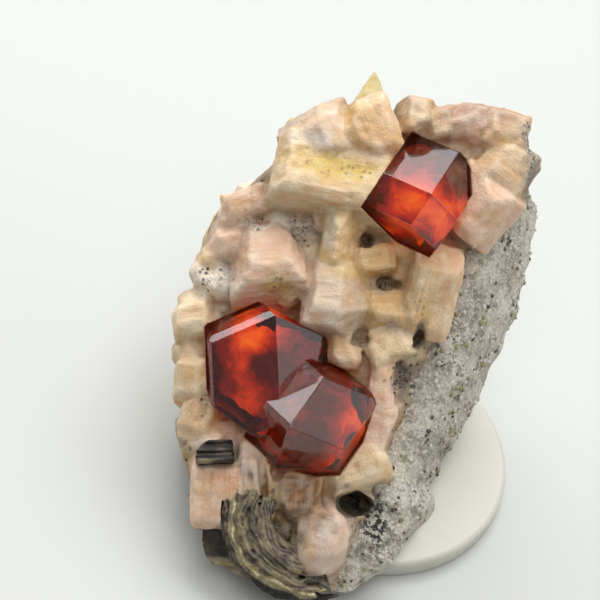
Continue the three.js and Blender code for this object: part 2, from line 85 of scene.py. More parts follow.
# %% [markdown]
# Node trees take many lines when each socket is set by hand. The first helper adds a node, sets its
# options, and fills each input with a plain value or with the output of another node. The others give
# the nodes that come back again and again a short name.

# %% Helpers for node trees
def add(tree, kind, inputs=None, **options):
    node = tree.nodes.new(kind)
    for option, value in options.items():
        setattr(node, option, value)
    for key, value in (inputs or {}).items():
        if isinstance(value, bpy.types.NodeSocket):
            tree.links.new(value, node.inputs[key])
        else:
            node.inputs[key].default_value = value
    return node


def calc(tree, operation, a, b):
    return add(tree, "ShaderNodeMath", {0: a, 1: b}, operation=operation).outputs[0]


def plus(tree, a, b):
    return calc(tree, "ADD", a, b)


def minus(tree, a, b):
    return calc(tree, "SUBTRACT", a, b)


def times(tree, a, b):
    return calc(tree, "MULTIPLY", a, b)


def between(tree, value, low, high, out_low=0.0, out_high=1.0):
    """Stretch the range from low to high to the range from out_low to out_high."""
    inputs = {"Value": value, "From Min": low, "From Max": high, "To Min": out_low, "To Max": out_high}
    return add(tree, "ShaderNodeMapRange", inputs).outputs[0]


def noise(tree, vector, scale, detail=2.0, roughness=0.5):
    inputs = {"Vector": vector, "Scale": scale, "Detail": detail, "Roughness": roughness}
    return add(tree, "ShaderNodeTexNoise", inputs).outputs[0]


def stretched(tree, vector, scales):
    return add(tree, "ShaderNodeVectorMath", {0: vector, 1: scales}, operation="MULTIPLY").outputs[0]


print("node helpers are ready")

# %% [markdown]
# Colours are easiest to judge as they look on a screen, from 0 to 255, but nodes want them linear.
# Most finishes here are a base colour with others laid over it, one after another, each by its own
# mask. A ramp turns one number into a colour.

# %% Helpers for colours
def colour(red, green, blue):
    linear = [((c / 255 + 0.055) / 1.055) ** 2.4 if c > 10 else c / 3294 for c in (red, green, blue)]
    return (*linear, 1.0)


def layered(tree, base, layers):
    for share, shade in layers:
        base = add(tree, "ShaderNodeMix", {0: share, 6: base, 7: shade}, data_type="RGBA").outputs[2]
    return base


def ramp(tree, value, stops):
    """The stops give a place and a colour each. The first is at 0 and the last at 1."""
    node = add(tree, "ShaderNodeValToRGB", {0: value})
    elements = node.color_ramp.elements
    elements[0].color = stops[0][1]
    elements[-1].color = stops[-1][1]
    for place, shade in stops[1:-1]:
        elements.new(place).color = shade
    return node.outputs[0]


print("pale cream is", [round(c, 3) for c in colour(222, 205, 180)])

# %% [markdown]
# A new material starts as one Principled shader. Every number that is the same all over the surface
# goes straight on the shader's own socket. What changes over the surface is fed in from nodes, and
# fine tooth comes from a bump whose depth is in metres.

# %% Helpers for materials
def material(name, **values):
    made = bpy.data.materials.new(name)
    made.use_nodes = True
    shader = made.node_tree.nodes["Principled BSDF"]
    for socket, value in values.items():
        shader.inputs[socket.replace("_", " ")].default_value = value
    return made, made.node_tree, shader


def feed(tree, shader, **values):
    for socket, value in values.items():
        tree.links.new(value, shader.inputs[socket.replace("_", " ")])


def roughen(tree, shader, height, strength, depth):
    inputs = {"Strength": strength, "Distance": depth, "Height": height}
    feed(tree, shader, Normal=add(tree, "ShaderNodeBump", inputs).outputs[0])


print("material helpers are ready")

# %% [markdown]
# Natural stone is never one colour. Three masks serve all the minerals here: broad clouds, fine grain
# and scattered specks. They come from one shader group, which is built once and placed in each
# material with its own sizes, in millimetres.

# %% Mottle, a group that every mineral shares
MOTTLE_SIZES = {"Cloud size": 3.0, "Grain size": 0.3, "Speck size": 0.8}

mottle = bpy.data.node_groups.new("mottle", "ShaderNodeTree")
for socket, start in (*MOTTLE_SIZES.items(), ("Specks", 0.2)):
    made = mottle.interface.new_socket(socket, in_out="INPUT", socket_type="NodeSocketFloat")
    made.default_value = start
for socket in ("Clouds", "Grain", "Speck"):
    mottle.interface.new_socket(socket, in_out="OUTPUT", socket_type="NodeSocketFloat")

given = add(mottle, "NodeGroupInput").outputs
place = add(mottle, "ShaderNodeTexCoord").outputs["Object"]
per_metre = {size: calc(mottle, "DIVIDE", 1 / MM, given[size]) for size in MOTTLE_SIZES}
clouds = noise(mottle, place, per_metre["Cloud size"], 3.0)
grain = noise(mottle, place, per_metre["Grain size"], 3.0, 0.65)
cells = add(mottle, "ShaderNodeTexVoronoi", {"Vector": place, "Scale": per_metre["Speck size"]})
chance_of_speck = add(mottle, "ShaderNodeSeparateColor", {0: cells.outputs["Color"]}).outputs[0]
small = between(mottle, cells.outputs["Distance"], 0.45, 0.15)
chosen = calc(mottle, "LESS_THAN", chance_of_speck, given["Specks"])
masks = {
    "Clouds": between(mottle, clouds, 0.3, 0.7),
    "Grain": between(mottle, grain, 0.3, 0.7),
    "Speck": times(mottle, small, chosen),
}
add(mottle, "NodeGroupOutput", masks)
print("mottle has", len(mottle.nodes), "nodes")


def mottled(tree, cloud, grain_size, speck_size, specks):
    inputs = {"Cloud size": cloud, "Grain size": grain_size, "Speck size": speck_size, "Specks": specks}
    return add(tree, "ShaderNodeGroup", inputs, node_tree=mottle).outputs


# %% [markdown]
# Everything that looks random must come out the same on each run, so chance comes from a formula: a
# seed and a count always give the same number between 0 and 1.

# %% Repeatable chance and directions
def chance(seed, count):
    wave = math.sin(seed * 127.1 + count * 311.7) * 43758.5453
    return wave - math.floor(wave)


def varied(low, high, seed, count):
    return low + (high - low) * chance(seed, count)


def unit(vector):
    return vector / np.linalg.norm(vector)


def direction(turn, lean):
    """turn is the angle within the crystal face, lean the angle away from straight out of it."""
    across = math.sin(math.radians(lean))
    angle = math.radians(turn)
    return np.array([across * math.cos(angle), across * math.sin(angle), math.cos(math.radians(lean))])


print("three numbers by chance:", [round(chance(1, count), 3) for count in range(3)])

# %% [markdown]
# Shapes are built as loose faces first, then kept as a mesh, shown as an object, and cut or melted
# with modifiers. Settling a piece keeps what its modifiers made of it and takes them off.

# %% Helpers for pieces
def mesh_of(shell, name):
    mesh = bpy.data.meshes.new(name)
    shell.to_mesh(mesh)
    shell.free()
    return mesh


def shown(name, mesh):
    piece = bpy.data.objects.new(name, mesh)
    bpy.context.scene.collection.objects.link(piece)
    return piece


def settle(piece):
    evaluated = piece.evaluated_get(bpy.context.evaluated_depsgraph_get())
    mesh = bpy.data.meshes.new_from_object(evaluated)
    piece.modifiers.clear()
    piece.data = mesh
    return piece


def combined(piece, other, operation, solver):
    step = piece.modifiers.new("boolean", "BOOLEAN")
    step.operation = operation
    step.object = other
    step.solver = solver
    return settle(piece)


print("piece helpers are ready")

# %% [markdown]
# A crystal is what is left inside a set of flat planes. Its corners are the points where three planes
# meet and no other plane cuts them off, and the smallest convex shell round those corners is the
# crystal. Merging its triangles back into whole faces keeps the later bevel clean.

# %% Crystals from planes
NEARLY_PARALLEL = 1e-4
ON_PLANE = 1e-6
SAME_CORNER = 0.03
SAME_FACE = 0.01
BEVEL_STEPS = 2


def corners_of(planes):
    normals = np.array([normal for normal, reach in planes])
    reaches = np.array([reach for normal, reach in planes])
    found = []
    for chosen in itertools.combinations(range(len(planes)), 3):
        three = normals[list(chosen)]
        if abs(np.linalg.det(three)) > NEARLY_PARALLEL:
            corner = np.linalg.solve(three, reaches[list(chosen)])
            if np.all(normals @ corner < reaches + ON_PLANE):
                found.append(corner)
    return found


def hull_of(points, same=SAME_CORNER):
    shell = bmesh.new()
    for point in points:
        shell.verts.new(point)
    bmesh.ops.remove_doubles(shell, verts=shell.verts[:], dist=same)
    hull = bmesh.ops.convex_hull(shell, input=shell.verts[:])
    loose = {v for v in hull["geom_interior"] + hull["geom_unused"] if isinstance(v, bmesh.types.BMVert)}
    bmesh.ops.delete(shell, geom=list(loose), context="VERTS")
    return shell


def crystal_mesh(planes, bevel=0.0):
    shell = hull_of(corners_of(planes))
    bmesh.ops.dissolve_limit(shell, angle_limit=SAME_FACE, verts=shell.verts[:], edges=shell.edges[:])
    if bevel:
        width = {"offset": bevel, "segments": BEVEL_STEPS, "profile": 0.5}
        bmesh.ops.bevel(shell, geom=shell.edges[:], affect="EDGES", clamp_overlap=True, **width)
    bmesh.ops.recalc_face_normals(shell, faces=shell.faces[:])
    return shell


cube_planes = [(sign * axis, 1.0) for axis in np.eye(3) for sign in (1, -1)]
print("six planes make", len(corners_of(cube_planes)), "corners")

# %% [markdown]
# Garnet grows as a rhombic dodecahedron: twelve equal diamond faces, four of them round each corner
# where four edges meet. Real ones grow unevenly, so here each face may be moved out or in, a few
# edges carry a narrow extra face, and a plane trims the crystal where it ran into a neighbour.
# Faces f0 to f3 meet at the corner that points out of the rock, e0 to e3 stand round the waist, and
# b0 to b3 face back into the rock. Sizes and places are in millimetres in the crystal face's frame.

# %% Garnet plans
GARNET_SIZE = 4.6
garnets = {
    "upper": {
        "corner": (11.6, 9.3, 5.0),
        "axis": (55.6, 11.5),
        "spin": 55.7,
        "more": {"e0": 1.3, "b0": 1.6, "e2": -1.7, "e3": -1.4},
        "bevels": [("f0", "e0", 0.25)],
        "trims": [(2, 82, (14.75, 11.0, 2.0))],
    },
    "left": {
        "corner": (-2.2, -1.4, 2.3),
        "axis": (83, 35.6),
        "spin": -87.5,
        "more": {"f2": 0.4, "e2": -1.0, "e3": 1.2, "e0": 3.2, "b3": 1.1, "e1": 0.3},
        "bevels": [("f3", "f2", 0.8), ("f3", "e3", 0.5), ("f2", "e3", 0.5)],
        "trims": [(61, 92, (-1.85, -1.05, 1.0))],
    },
    "right": {
        "corner": (-1.0, -11.2, 5.0),
        "axis": (193, 17),
        "spin": 59.4,
        "more": {"e0": 0.45, "e3": 0.15},
        "bevels": [("f0", "f1", 0.6), ("f0", "e0", 0.5), ("f3", "e0", 0.7)],
        "trims": [(268, 76, (0.8, -15.1, 1.1))],
    },
}
print(len(garnets), "garnets are planned")

# %% [markdown]
# The twelve face directions follow from three axes at right angles: the one that points out of the
# rock and the two across it. Each face lies halfway between two of the six ways along these axes.

# %% Garnet shapes
BEVEL_WIDTH_PER_DEPTH = 3.46


def garnet_planes(plan, grow=0.0):
    out_way = direction(*plan["axis"])
    spin = math.radians(plan["spin"])
    side = np.array([math.cos(spin), math.sin(spin), 0.0])
    side = unit(side - side.dot(out_way) * out_way)
    other = np.cross(out_way, side)
    waist = [side, other, -side, -other]
    normals = {}
    for i, edge in enumerate(waist):
        middle = unit(edge + waist[(i + 1) % 4])
        normals[f"f{i}"] = unit(out_way + middle)
        normals[f"e{i}"] = edge
        normals[f"b{i}"] = unit(middle - out_way)
    centre = np.array(plan["corner"]) - out_way * GARNET_SIZE * math.sqrt(2)
    reach = {face: GARNET_SIZE + plan["more"].get(face, 0.0) for face in normals}
    planes = [(normals[face], reach[face]) for face in normals]
    for a, b, width in plan["bevels"]:
        both = normals[a] + normals[b]
        edge_reach = (reach[a] + reach[b]) / np.linalg.norm(both)
        planes.append((unit(both), edge_reach - width / BEVEL_WIDTH_PER_DEPTH))
    for turn, lean, at in plan["trims"]:
        way = direction(turn, lean)
        planes.append((way, way.dot(np.array(at) - centre)))
    return [(n, r + grow + n.dot(centre)) for n, r in planes]


for name, plan in garnets.items():
    print(name, "garnet has", len(corners_of(garnet_planes(plan))), "corners")

# %% [markdown]
# The two lower garnets grew into each other, so their shells are joined into one body with a boolean.
# A hair-thin bevel on every edge catches the light, as worn crystal edges do.

# %% Garnet bodies
EDGE_WEAR = 0.07


def garnet_body(name, plan):
    return shown(name, mesh_of(crystal_mesh(garnet_planes(plan), EDGE_WEAR), name))


garnet_upper = garnet_body("garnet_upper_clear", garnets["upper"])
garnet_pair = garnet_body("garnet_pair_clear", garnets["left"])
pair_right = garnet_body("pair_right", garnets["right"])
combined(garnet_pair, pair_right, "UNION", "EXACT")
bpy.data.objects.remove(pair_right)
print("the pair has", len(garnet_pair.data.polygons), "faces")

# %% [markdown]
# A garnet in its rock touches the feldspar, and it is the light from that pale feldspar that makes
# it glow. So the sockets are a hair smaller than the garnets: no air lies between. Each socket is
# drawn out towards the viewer as well, because nothing grew over the garnets.

# %% Sockets for the garnets
SOCKET_ROOM = -0.05
CLEAR_ABOVE = 9.0
SOCKET_SAME_CORNER = 0.01


def socket_cutter(name, plan):
    corners = corners_of(garnet_planes(plan, SOCKET_ROOM))
    raised = [corner + np.array([0, 0, CLEAR_ABOVE]) for corner in corners]
    both = [point for pair in zip(corners, raised) for point in pair]
    return shown(f"socket_{name}", mesh_of(hull_of(both, SOCKET_SAME_CORNER), "socket"))


sockets = [socket_cutter(name, plan) for name, plan in garnets.items()]
print("sockets:", [len(socket.data.polygons) for socket in sockets], "faces")

# %% [markdown]
# The clear colour of garnet sits in its depth, not on its skin: white light goes in, and on its way
# through the crystal the blue and green are taken out. A transmitting shader with garnet's refraction
# and a volume that absorbs does the same. Thin paths come out orange and long ones deep red.

# %% Garnet material
GARNET_IOR = 1.78
GARNET_DEPTH = {"Color": (0.965, 0.70, 0.16, 1), "Density": 700.0}

garnet_red, garnet_tree, garnet_shader = material(
    "garnet",
    Base_Color=(1.0, 0.92, 0.86, 1),
    Roughness=0.03,
    IOR=GARNET_IOR,
    Transmission_Weight=1.0,
    Specular_IOR_Level=0.31,
)
absorb = add(garnet_tree, "ShaderNodeVolumeAbsorption", GARNET_DEPTH)
garnet_tree.links.new(absorb.outputs[0], garnet_tree.nodes["Material Output"].inputs["Volume"])
marks = mottled(garnet_tree, 2.5, 0.5, 1.0, 0.1)
wear = between(garnet_tree, marks["Clouds"], 0.5, 1.0, 0.02, 0.10)
feed(garnet_tree, garnet_shader, Roughness=wear)
roughen(garnet_tree, garnet_shader, marks["Clouds"], 0.12, 0.00005)
print("garnet bends light by", GARNET_IOR)

# %% [markdown]
# Inside, these garnets are cloudy: healed cracks and veils catch the light and glow orange, with dark
# patches between. A rough heart a millimetre or two under the faces stands for that: it emits light
# of its own as a painted glow, and its dark places are painted shade. How bright it glows is worked
# out for each point from a few places that are bright or dark, given in the crystal face's x and y
# with a radius and a strength.

# %% Where the hearts glow
HEART_DEPTH = 1.5
HEART_BASE_GLOW = 0.10
heart_glow_places = {
    "upper": [
        (9.5, 8.8, 1.6, 0.55),
        (13.0, 7.0, 1.8, 0.65),
        (11.5, 8.4, 2.4, 0.30),
        (10.6, 5.9, 1.3, -0.50),
        (7.6, 9.2, 1.2, -0.30),
        (14.0, 10.6, 1.5, -0.50),
    ],
    "left": [
        (-3.9, -3.4, 1.8, 0.85),
        (-4.9, -6.2, 1.4, 0.50),
        (-4.6, -9.4, 1.5, 0.45),
        (-3.2, -5.6, 1.2, -0.65),
        (-7.4, -6.4, 1.8, -0.20),
    ],
    "right": [
        (5.2, -11.2, 1.8, 0.75),
        (3.9, -14.2, 1.4, 0.60),
        (-0.4, -14.9, 0.6, 0.50),
        (0.8, -15.0, 0.6, 0.50),
        (2.0, -15.1, 0.7, 0.60),
        (0.4, -12.8, 1.6, -0.25),
        (1.6, -9.6, 1.8, -0.15),
    ],
}


# Bright places add painted glow to the heart and dark places add painted shade.
def glow_at(points, places):
    glow = np.full(len(points), HEART_BASE_GLOW)
    for x, y, radius, strength in places:
        away = np.hypot(points[:, 0] - x, points[:, 1] - y) / radius
        glow += strength * np.exp(-away * away)
    return glow


print("bright and dark places:", {name: len(places) for name, places in heart_glow_places.items()})

# %% [markdown]
# Neighbouring feldspar crystals differ: some are peach, some pink, some stained ochre by iron. Each
# gets one of these tones, and the bed between the crystals has its own.

# %% Feldspar tones
TONES = {
    "cream": colour(226, 198, 156),
    "white": colour(232, 216, 194),
    "pink": colour(222, 184, 156),
    "peach": colour(216, 180, 138),
    "ochre": colour(212, 168, 104),
    "yellow": colour(228, 196, 128),
    "lilac": colour(214, 188, 164),
    "grey": colour(178, 168, 158),
    "bed": colour(166, 148, 118),
}
print(len(TONES), "tones")

# %% [markdown]
# Every feldspar crystal is a short prism with bevelled long edges and sloping ends. The list of
# blocks gives each its tone, its middle, its length, width and depth, and its turn in the face.
# Worn and rounded ones are lumps. Rows of small crystals fill the hollows and finish the flanks:
# how many, from where to where, how big, and a seed. The last blocks are thin upright plates. One
# big pale lump at the lower end, the boulder, is rounder than the others.

# %% Feldspar crystals
CROWDING = 1.1
LUMP_FACES = 24
SMALL_FACES = 8
BOULDER_AT = (1.7, -21.8, -2.0)
BOULDER_SIZE = (5.2, 6.9, 6.2)
BOULDER_FACES = 56

blocks = [
    ("cream", (3.1, 10.7, -1.6), (10.4, 6.0, 5.6), (-12, 0, -28)),
    ("lilac", (1.9, 14.5, -2.4), (5.4, 5.6, 5.2), (-62, 8, 24)),
    ("peach", (6.1, 15.2, -2.2), (5.4, 4.6, 5.4), (-68, 6, -12)),
    ("cream", (10.5, 16.3, -4.0), (3.6, 3.4, 4.6), (-10, 0, -20)),
    ("cream", (13.0, 15.8, -4.0), (3.4, 2.8, 4.2), (10, 0, -16)),
    ("peach", (18.2, 15.1, -3.0), (4.6, 3.4, 4.6), (-14, -8, -22)),
    ("peach", (18.9, 11.8, -3.0), (5.6, 4.8, 5.0), (-36, -14, -12)),
    ("pink", (16.2, 8.5, -2.6), (6.2, 5.4, 6.0), (-40, -6, 10)),
    ("pink", (-4.7, 8.4, -3.2), (4.2, 2.6, 4.2), (22, 6, -16)),
    ("pink", (-3.0, 3.0, -2.2), (6.4, 5.8, 6.0), (4, 0, -36)),
    ("lilac", (3.6, 0.0, -1.8), (6.0, 6.2, 6.2), (-6, 4, -22)),
    ("peach", (4.0, -4.6, -2.6), (2.8, 3.6, 4.4), (0, 0, -14)),
    ("yellow", (3.7, 5.6, -1.2), (3.2, 5.0, 5.4), (-8, 0, 10)),
    ("ochre", (6.9, 3.4, -1.5), (3.2, 2.2, 3.4), (10, 0, -18)),
    ("peach", (11.5, 1.0, -2.6), (8.0, 4.4, 6.0), (76, 6, 14)),
    ("ochre", (8.0, -1.3, -2.0), (3.8, 3.2, 4.2), (-6, 0, -30)),
    ("cream", (8.2, -4.2, -2.4), (4.2, 3.0, 4.4), (24, 0, -14)),
    ("pink", (7.4, -7.8, -2.8), (4.4, 2.2, 4.6), (84, 0, 0)),
    ("cream", (5.2, -15.4, -2.4), (5.4, 3.8, 5.0), (22, 0, -18)),
    ("ochre", (-0.3, -17.8, -1.9), (4.8, 3.8, 5.0), (88, -8, 4)),
    ("pink", (-6.7, -17.9, -3.2), (5.7, 5.2, 6.4), (88, -6, -10)),
    ("lilac", (-4.5, -15.0, -2.8), (4.2, 2.8, 4.6), (80, 0, 6)),
    ("cream", (-9.1, -7.6, -4.2), (4.6, 3.4, 5.4), (86, 0, -22)),
    ("peach", (-8.8, -10.8, -4.0), (3.4, 2.8, 5.0), (70, 0, -18)),
    ("cream", (-9.6, -2.3, -4.0), (3.6, 2.8, 5.0), (6, 0, -20)),
    ("cream", (-0.8, 0.8, -2.6), (3.0, 2.6, 4.0), (40, 0, -20)),
    ("peach", (1.8, -14.0, -3.2), (7.0, 4.4, 4.6), (4, 0, -6)),
    ("pink", (6.6, -11.6, -3.0), (4.6, 3.0, 5.0), (70, 0, 0)),
    ("grey", (-4.5, -16.8, -1.7), (4.6, 0.4, 4.2), (97, 0, -8)),
    ("lilac", (-3.7, -17.2, -1.5), (5.4, 0.5, 4.2), (96, 0, -4)),
    ("ochre", (-2.8, -17.4, -1.9), (4.8, 0.4, 4.2), (94, 0, 4)),
]

lumps = [
    ("pink", (15.9, 15.8, -3.4), (5.8, 3.8, 4.8)),
    ("white", (16.3, 14.0, -3.4), (2.2, 2.0, 3.0)),
    ("cream", (14.4, 13.8, -3.8), (2.2, 2.0, 3.0)),
    ("yellow", (5.4, 7.1, -2.0), (2.6, 2.0, 2.8)),
    ("pink", (-5.8, 7.2, -3.6), (3.4, 2.6, 4.0)),
    ("pink", (-6.2, 5.1, -3.6), (4.2, 3.2, 4.6)),
    ("cream", (-7.9, 3.8, -4.2), (3.0, 2.2, 4.0)),
    ("white", (-8.9, 2.4, -4.6), (2.4, 2.2, 4.0)),
    ("white", (-7.4, 1.4, -3.8), (4.4, 3.2, 4.6)),
    ("cream", (-9.6, -0.4, -4.6), (3.2, 2.6, 4.4)),
    ("cream", (-10.1, -4.9, -4.6), (3.2, 2.8, 4.4)),
    ("peach", (-8.8, -12.9, -4.0), (2.2, 2.6, 4.0)),
    ("lilac", (-7.6, -12.8, -3.2), (4.0, 2.8, 4.2)),
    ("cream", (0.6, 4.6, -2.8), (3.2, 3.2, 3.6)),
    ("ochre", (9.2, 4.6, -2.4), (3.0, 2.6, 3.4)),
]

rows = [
    (5, (-3.6, 6.4, -2.6), (2.0, 7.4, -2.4), 2.2, 5),
    (4, (8.4, 6.2, -2.6), (9.8, -2.2, -2.6), 2.2, 7),
    (4, (12.4, 13.9, -4.0), (17.4, 12.8, -3.4), 2.0, 13),
    (5, (-2.8, -13.4, -2.8), (-3.4, -21.0, -2.2), 2.2, 17),
    (4, (6.6, -18.4, -3.4), (5.8, -23.2, -3.4), 2.2, 19),
    (3, (3.2, 11.9, -2.4), (7.8, 12.4, -2.4), 2.0, 29),
    (7, (-5.4, 8.6, -7.4), (-7.0, -12.4, -8.0), 3.8, 3),
    (5, (-4.0, 9.4, -10.6), (-6.0, -7.0, -10.8), 3.2, 11),
    (6, (2.4, 14.6, -6.8), (18.4, 14.4, -7.0), 3.8, 23),
    (3, (-6.6, -19.0, -5.0), (-3.0, -23.4, -3.0), 3.8, 37),
]
print(len(blocks), "blocks,", len(lumps), "lumps and", sum(row[0] for row in rows), "small crystals")

# %% [markdown]
# A block is bounded by three pairs of planes. More planes take off its two front long edges, slope
# its two ends and cut a corner off each, by amounts that chance varies. The planes of a lump touch an
# egg shape at points spread evenly over it in a spiral, and each is drawn in a little by chance.

# %% Planes of blocks and lumps
BLOCK_BEVEL = 0.2
SPIRAL_TURN = 2.39996
SPIRAL_START = 6.28
LUMP_SWELL = 1.02


def block_planes(size, seed):
    l, w, d = (across / 2 * CROWDING for across in size)
    bevel = BLOCK_BEVEL * min(w, d) * varied(0.7, 1.5, seed, 1)
    planes = [(sign * axis, reach) for axis, reach in zip(np.eye(3), (l, w, d)) for sign in (1, -1)]
    for i, side in enumerate((1, -1)):
        edge = (w + d) * math.sqrt(0.5) - bevel * varied(0.6, 1.4, seed, 2 + i)
        planes.append((unit(np.array([0.0, side, 1.0])), edge))
        slope = math.radians(varied(28, 54, seed, 4 + i))
        end = l * math.cos(slope) + d * math.sin(slope) - bevel * varied(0.9, 2.5, seed, 6 + i)
        planes.append((np.array([side * math.cos(slope), 0.0, math.sin(slope)]), end))
        skew = side * (0.5 - chance(seed, 8 + i))
        tip = unit(np.array([side, 1.0 if skew > 0 else -1.0, 0.5]))
        cut = np.abs(tip).dot((l, w, d)) - bevel * varied(1.2, 3.4, seed, 10 + i)
        planes.append((tip, cut))
    return planes


def lump_planes(size, seed, faces, uneven):
    half = np.array(size) / 2 * CROWDING
    planes = []
    for i in range(faces):
        height = 1 - (2 * i + 1) / faces
        turn = i * SPIRAL_TURN + SPIRAL_START * chance(seed, 0)
        across = math.sqrt(1 - height * height)
        normal = np.array([across * math.cos(turn), across * math.sin(turn), height])
        planes.append((normal, np.linalg.norm(normal * half) * (LUMP_SWELL - uneven * chance(seed, i + 1))))
    return planes


def turned(turn):
    heading, tilt, roll = (math.radians(angle) for angle in turn)
    level = Matrix.Rotation(heading, 3, "Z") @ Matrix.Rotation(-tilt, 3, "Y")
    return np.array(level @ Matrix.Rotation(roll, 3, "X"))


print("a block has", len(block_planes((1, 1, 1), 1)), "planes")

# %% [markdown]
# All crystals go into one list: planes in the stone's frame, tone, and the matrix that leads back to
# the crystal's own axes, along which its growth lines will run. Lined says how strong those lines
# are and coarse how rough its skin is.

# %% The whole crowd of crystals
ROW_TONES = ("cream", "pink", "peach", "white", "ochre")
ROW_SHAPE = np.array((1, 0.8, 0.9))
ROW_JITTER = 0.6
LUMP_SEEDS = 61
crowd = []


def join_crowd(planes, tone, at, turn, lined, coarse):
    matrix = turned(turn)
    centre = np.array(at)
    moved = [(matrix @ n, r + (matrix @ n).dot(centre)) for n, r in planes]
    crystal = {"planes": moved, "tone": tone, "centre": centre, "matrix": matrix}
    crowd.append({**crystal, "lined": lined, "coarse": coarse})


for i, (tone, at, size, turn) in enumerate(blocks):
    join_crowd(block_planes(size, i + 1), tone, at, turn, varied(0.35, 1.0, i, 3), varied(0.2, 0.7, i, 4))
for i, (tone, at, size) in enumerate(lumps):
    join_crowd(lump_planes(size, i + LUMP_SEEDS, LUMP_FACES, 0.16), tone, at, (0, 0, 0), 0.3, 0.6)
join_crowd(lump_planes(BOULDER_SIZE, 0, BOULDER_FACES, 0.02), "pink", BOULDER_AT, (-24, 0, 0), 0.0, 0.1)
for count, start, end, size, seed in rows:
    start, end = np.array(start), np.array(end)
    for i in range(count):
        along = (i + ROW_JITTER * (chance(seed, i) - 0.5)) / (count - 1)
        scale = size * varied(0.8, 1.3, seed, i + 20)
        turn = (360 * chance(seed, i + 40), varied(-25, 25, seed, i + 60), 90 * chance(seed, i + 80))
        tone = ROW_TONES[int(len(ROW_TONES) * chance(seed, i + 90))]
        planes = block_planes(scale * ROW_SHAPE, seed + i)[:SMALL_FACES]
        join_crowd(planes, tone, start + (end - start) * along, turn, 0.4, 0.7)
print("crystals in the crowd:", len(crowd))

# %% [markdown]
# The grey rock is a few rounded masses. Each is a sphere whose surface is drawn in to flat sides,
# given by turn, lean and reach, and the distances blend, so the edges between the sides are round.

# %% Rock masses
ROUNDING = 10
masses = [
    {
        "centre": (5.6, -3.0, -7.6),
        "sides": [
            (0, 0, 4.3),
            (-22, 52, 9.4),
            (12, 82, 18.9),
            (-31, 86, 12.7),
            (62, 80, 22.4),
            (92, 84, 19.4),
            (130, 86, 16.4),
            (172, 86, 15.0),
            (215, 86, 16.8),
            (255, 84, 22.0),
            (300, 84, 17.4),
            (10, 146, 12.6),
            (180, 160, 8.4),
            (90, 130, 15.0),
        ],
    },
    {
        "centre": (2.6, -19.2, -5.4),
        "sides": [
            (0, 0, 3.4),
            (-10, 62, 7.4),
            (-45, 84, 7.7),
            (270, 84, 8.8),
            (200, 84, 10.2),
            (90, 84, 8.0),
            (30, 84, 8.2),
            (0, 180, 7.0),
        ],
    },
]
print(len(masses), "masses with", [len(mass["sides"]) for mass in masses], "sides")

# %% [markdown]
# A slow ripple keeps the rock from looking machined. It is made of a few waves, each bent by another,
# so it has no visible period, and it serves wherever a gentle unevenness is wanted. The crystals
# cover the rock up to a line across its face, with a soft change from covered to bare.

# %% Ripple and cover
EDGE_WAY = np.array([0.93, -0.37, 0.0])
EDGE_AT = np.array([14.9, 4.4, 0.0])
COVER_BACK = -9.5
COVER_BLEND = 3.0


def ripple(p, scale, seed):
    x, y, z = p[:, 0] / scale + seed, p[:, 1] / scale - 2 * seed, p[:, 2] / scale + 3 * seed
    first = np.sin(1.7 * x + 1.3 * np.sin(1.9 * y + 0.7 * z))
    second = np.sin(1.6 * y + 1.2 * np.sin(1.8 * z - 0.6 * x))
    third = np.sin(1.5 * z + 1.4 * np.sin(1.7 * x + 0.5 * y))
    return first * second + 0.6 * third


def covered(p):
    """1 where the crystals cover the rock, 0 on its bare side."""
    from_edge = -(p - EDGE_AT) @ EDGE_WAY
    depth = np.minimum(from_edge, (p[:, 2] - COVER_BACK) * 1.2)
    t = np.clip((depth + COVER_BLEND / 2) / COVER_BLEND, 0, 1)
    return t * t * (3 - 2 * t)


spots = np.array([[0.0, 0.0, 0.0], [20.0, 0.0, 0.0]])
print("cover in the middle and past the edge:", covered(spots))

# %% [markdown]
# A shell of a mass starts as a fine sphere. Each of its points moves in or out along its own ray
# until it meets the blended sides, and from there by an offset that the caller gives. So the same
# masses make the bare rock and, swollen where crystals cover them, the bed that they grow from.

# %% Shells of the masses
RIPPLE_HEIGHT = 0.3
RIPPLE_LENGTH = 4.2


def mass_shell(mass, offset, fineness):
    shell = bmesh.new()
    bmesh.ops.create_icosphere(shell, subdivisions=fineness, radius=1)
    ways = np.array([v.co for v in shell.verts])
    ways /= np.linalg.norm(ways, axis=1)[:, None]
    pull = np.zeros(len(ways))
    for turn, lean, reach in mass["sides"]:
        pull += np.maximum(0, ways @ direction(turn, lean) / reach) ** ROUNDING
    points = np.array(mass["centre"]) + ways * (pull ** (-1 / ROUNDING))[:, None]
    points += ways * (RIPPLE_HEIGHT * ripple(points, RIPPLE_LENGTH, 1.3) + offset(points))[:, None]
    for vertex, point in zip(shell.verts, points):
        vertex.co = point
    return shell


def put_together(shells, name):
    whole = bmesh.new()
    for shell in shells:
        loose = mesh_of(shell, "loose")
        whole.from_mesh(loose)
        bpy.data.meshes.remove(loose)
    return mesh_of(whole, name)


print("each mass is a blend to the power", ROUNDING)

# %% [markdown]
# Voxel remeshing melts overlapping shells into one skin with even, small faces. That suits grown
# rock: crystals merge where they touch, edges are slightly worn, and the even faces can carry relief.

# %% One skin from many shells
def melt(piece, voxel):
    step = piece.modifiers.new("melt", "REMESH")
    step.mode = "VOXEL"
    step.voxel_size = voxel
    return settle(piece)


def melted(name, shells, voxel):
    return melt(shown(name, put_together(shells, name)), voxel)


print("melting is ready")

# %% [markdown]
# Skins are trimmed with big boxes: one under the flat base that the stone stands on, one behind the
# crust, and one past the crust's edge, where it would only hide inside the rock.

# %% Boxes that trim
CUTTER_SIZE = 120
CRUST_BACK = -12.6
CRUST_PAST_EDGE = 1.7
CRUST_EDGE_TOP = -6.2


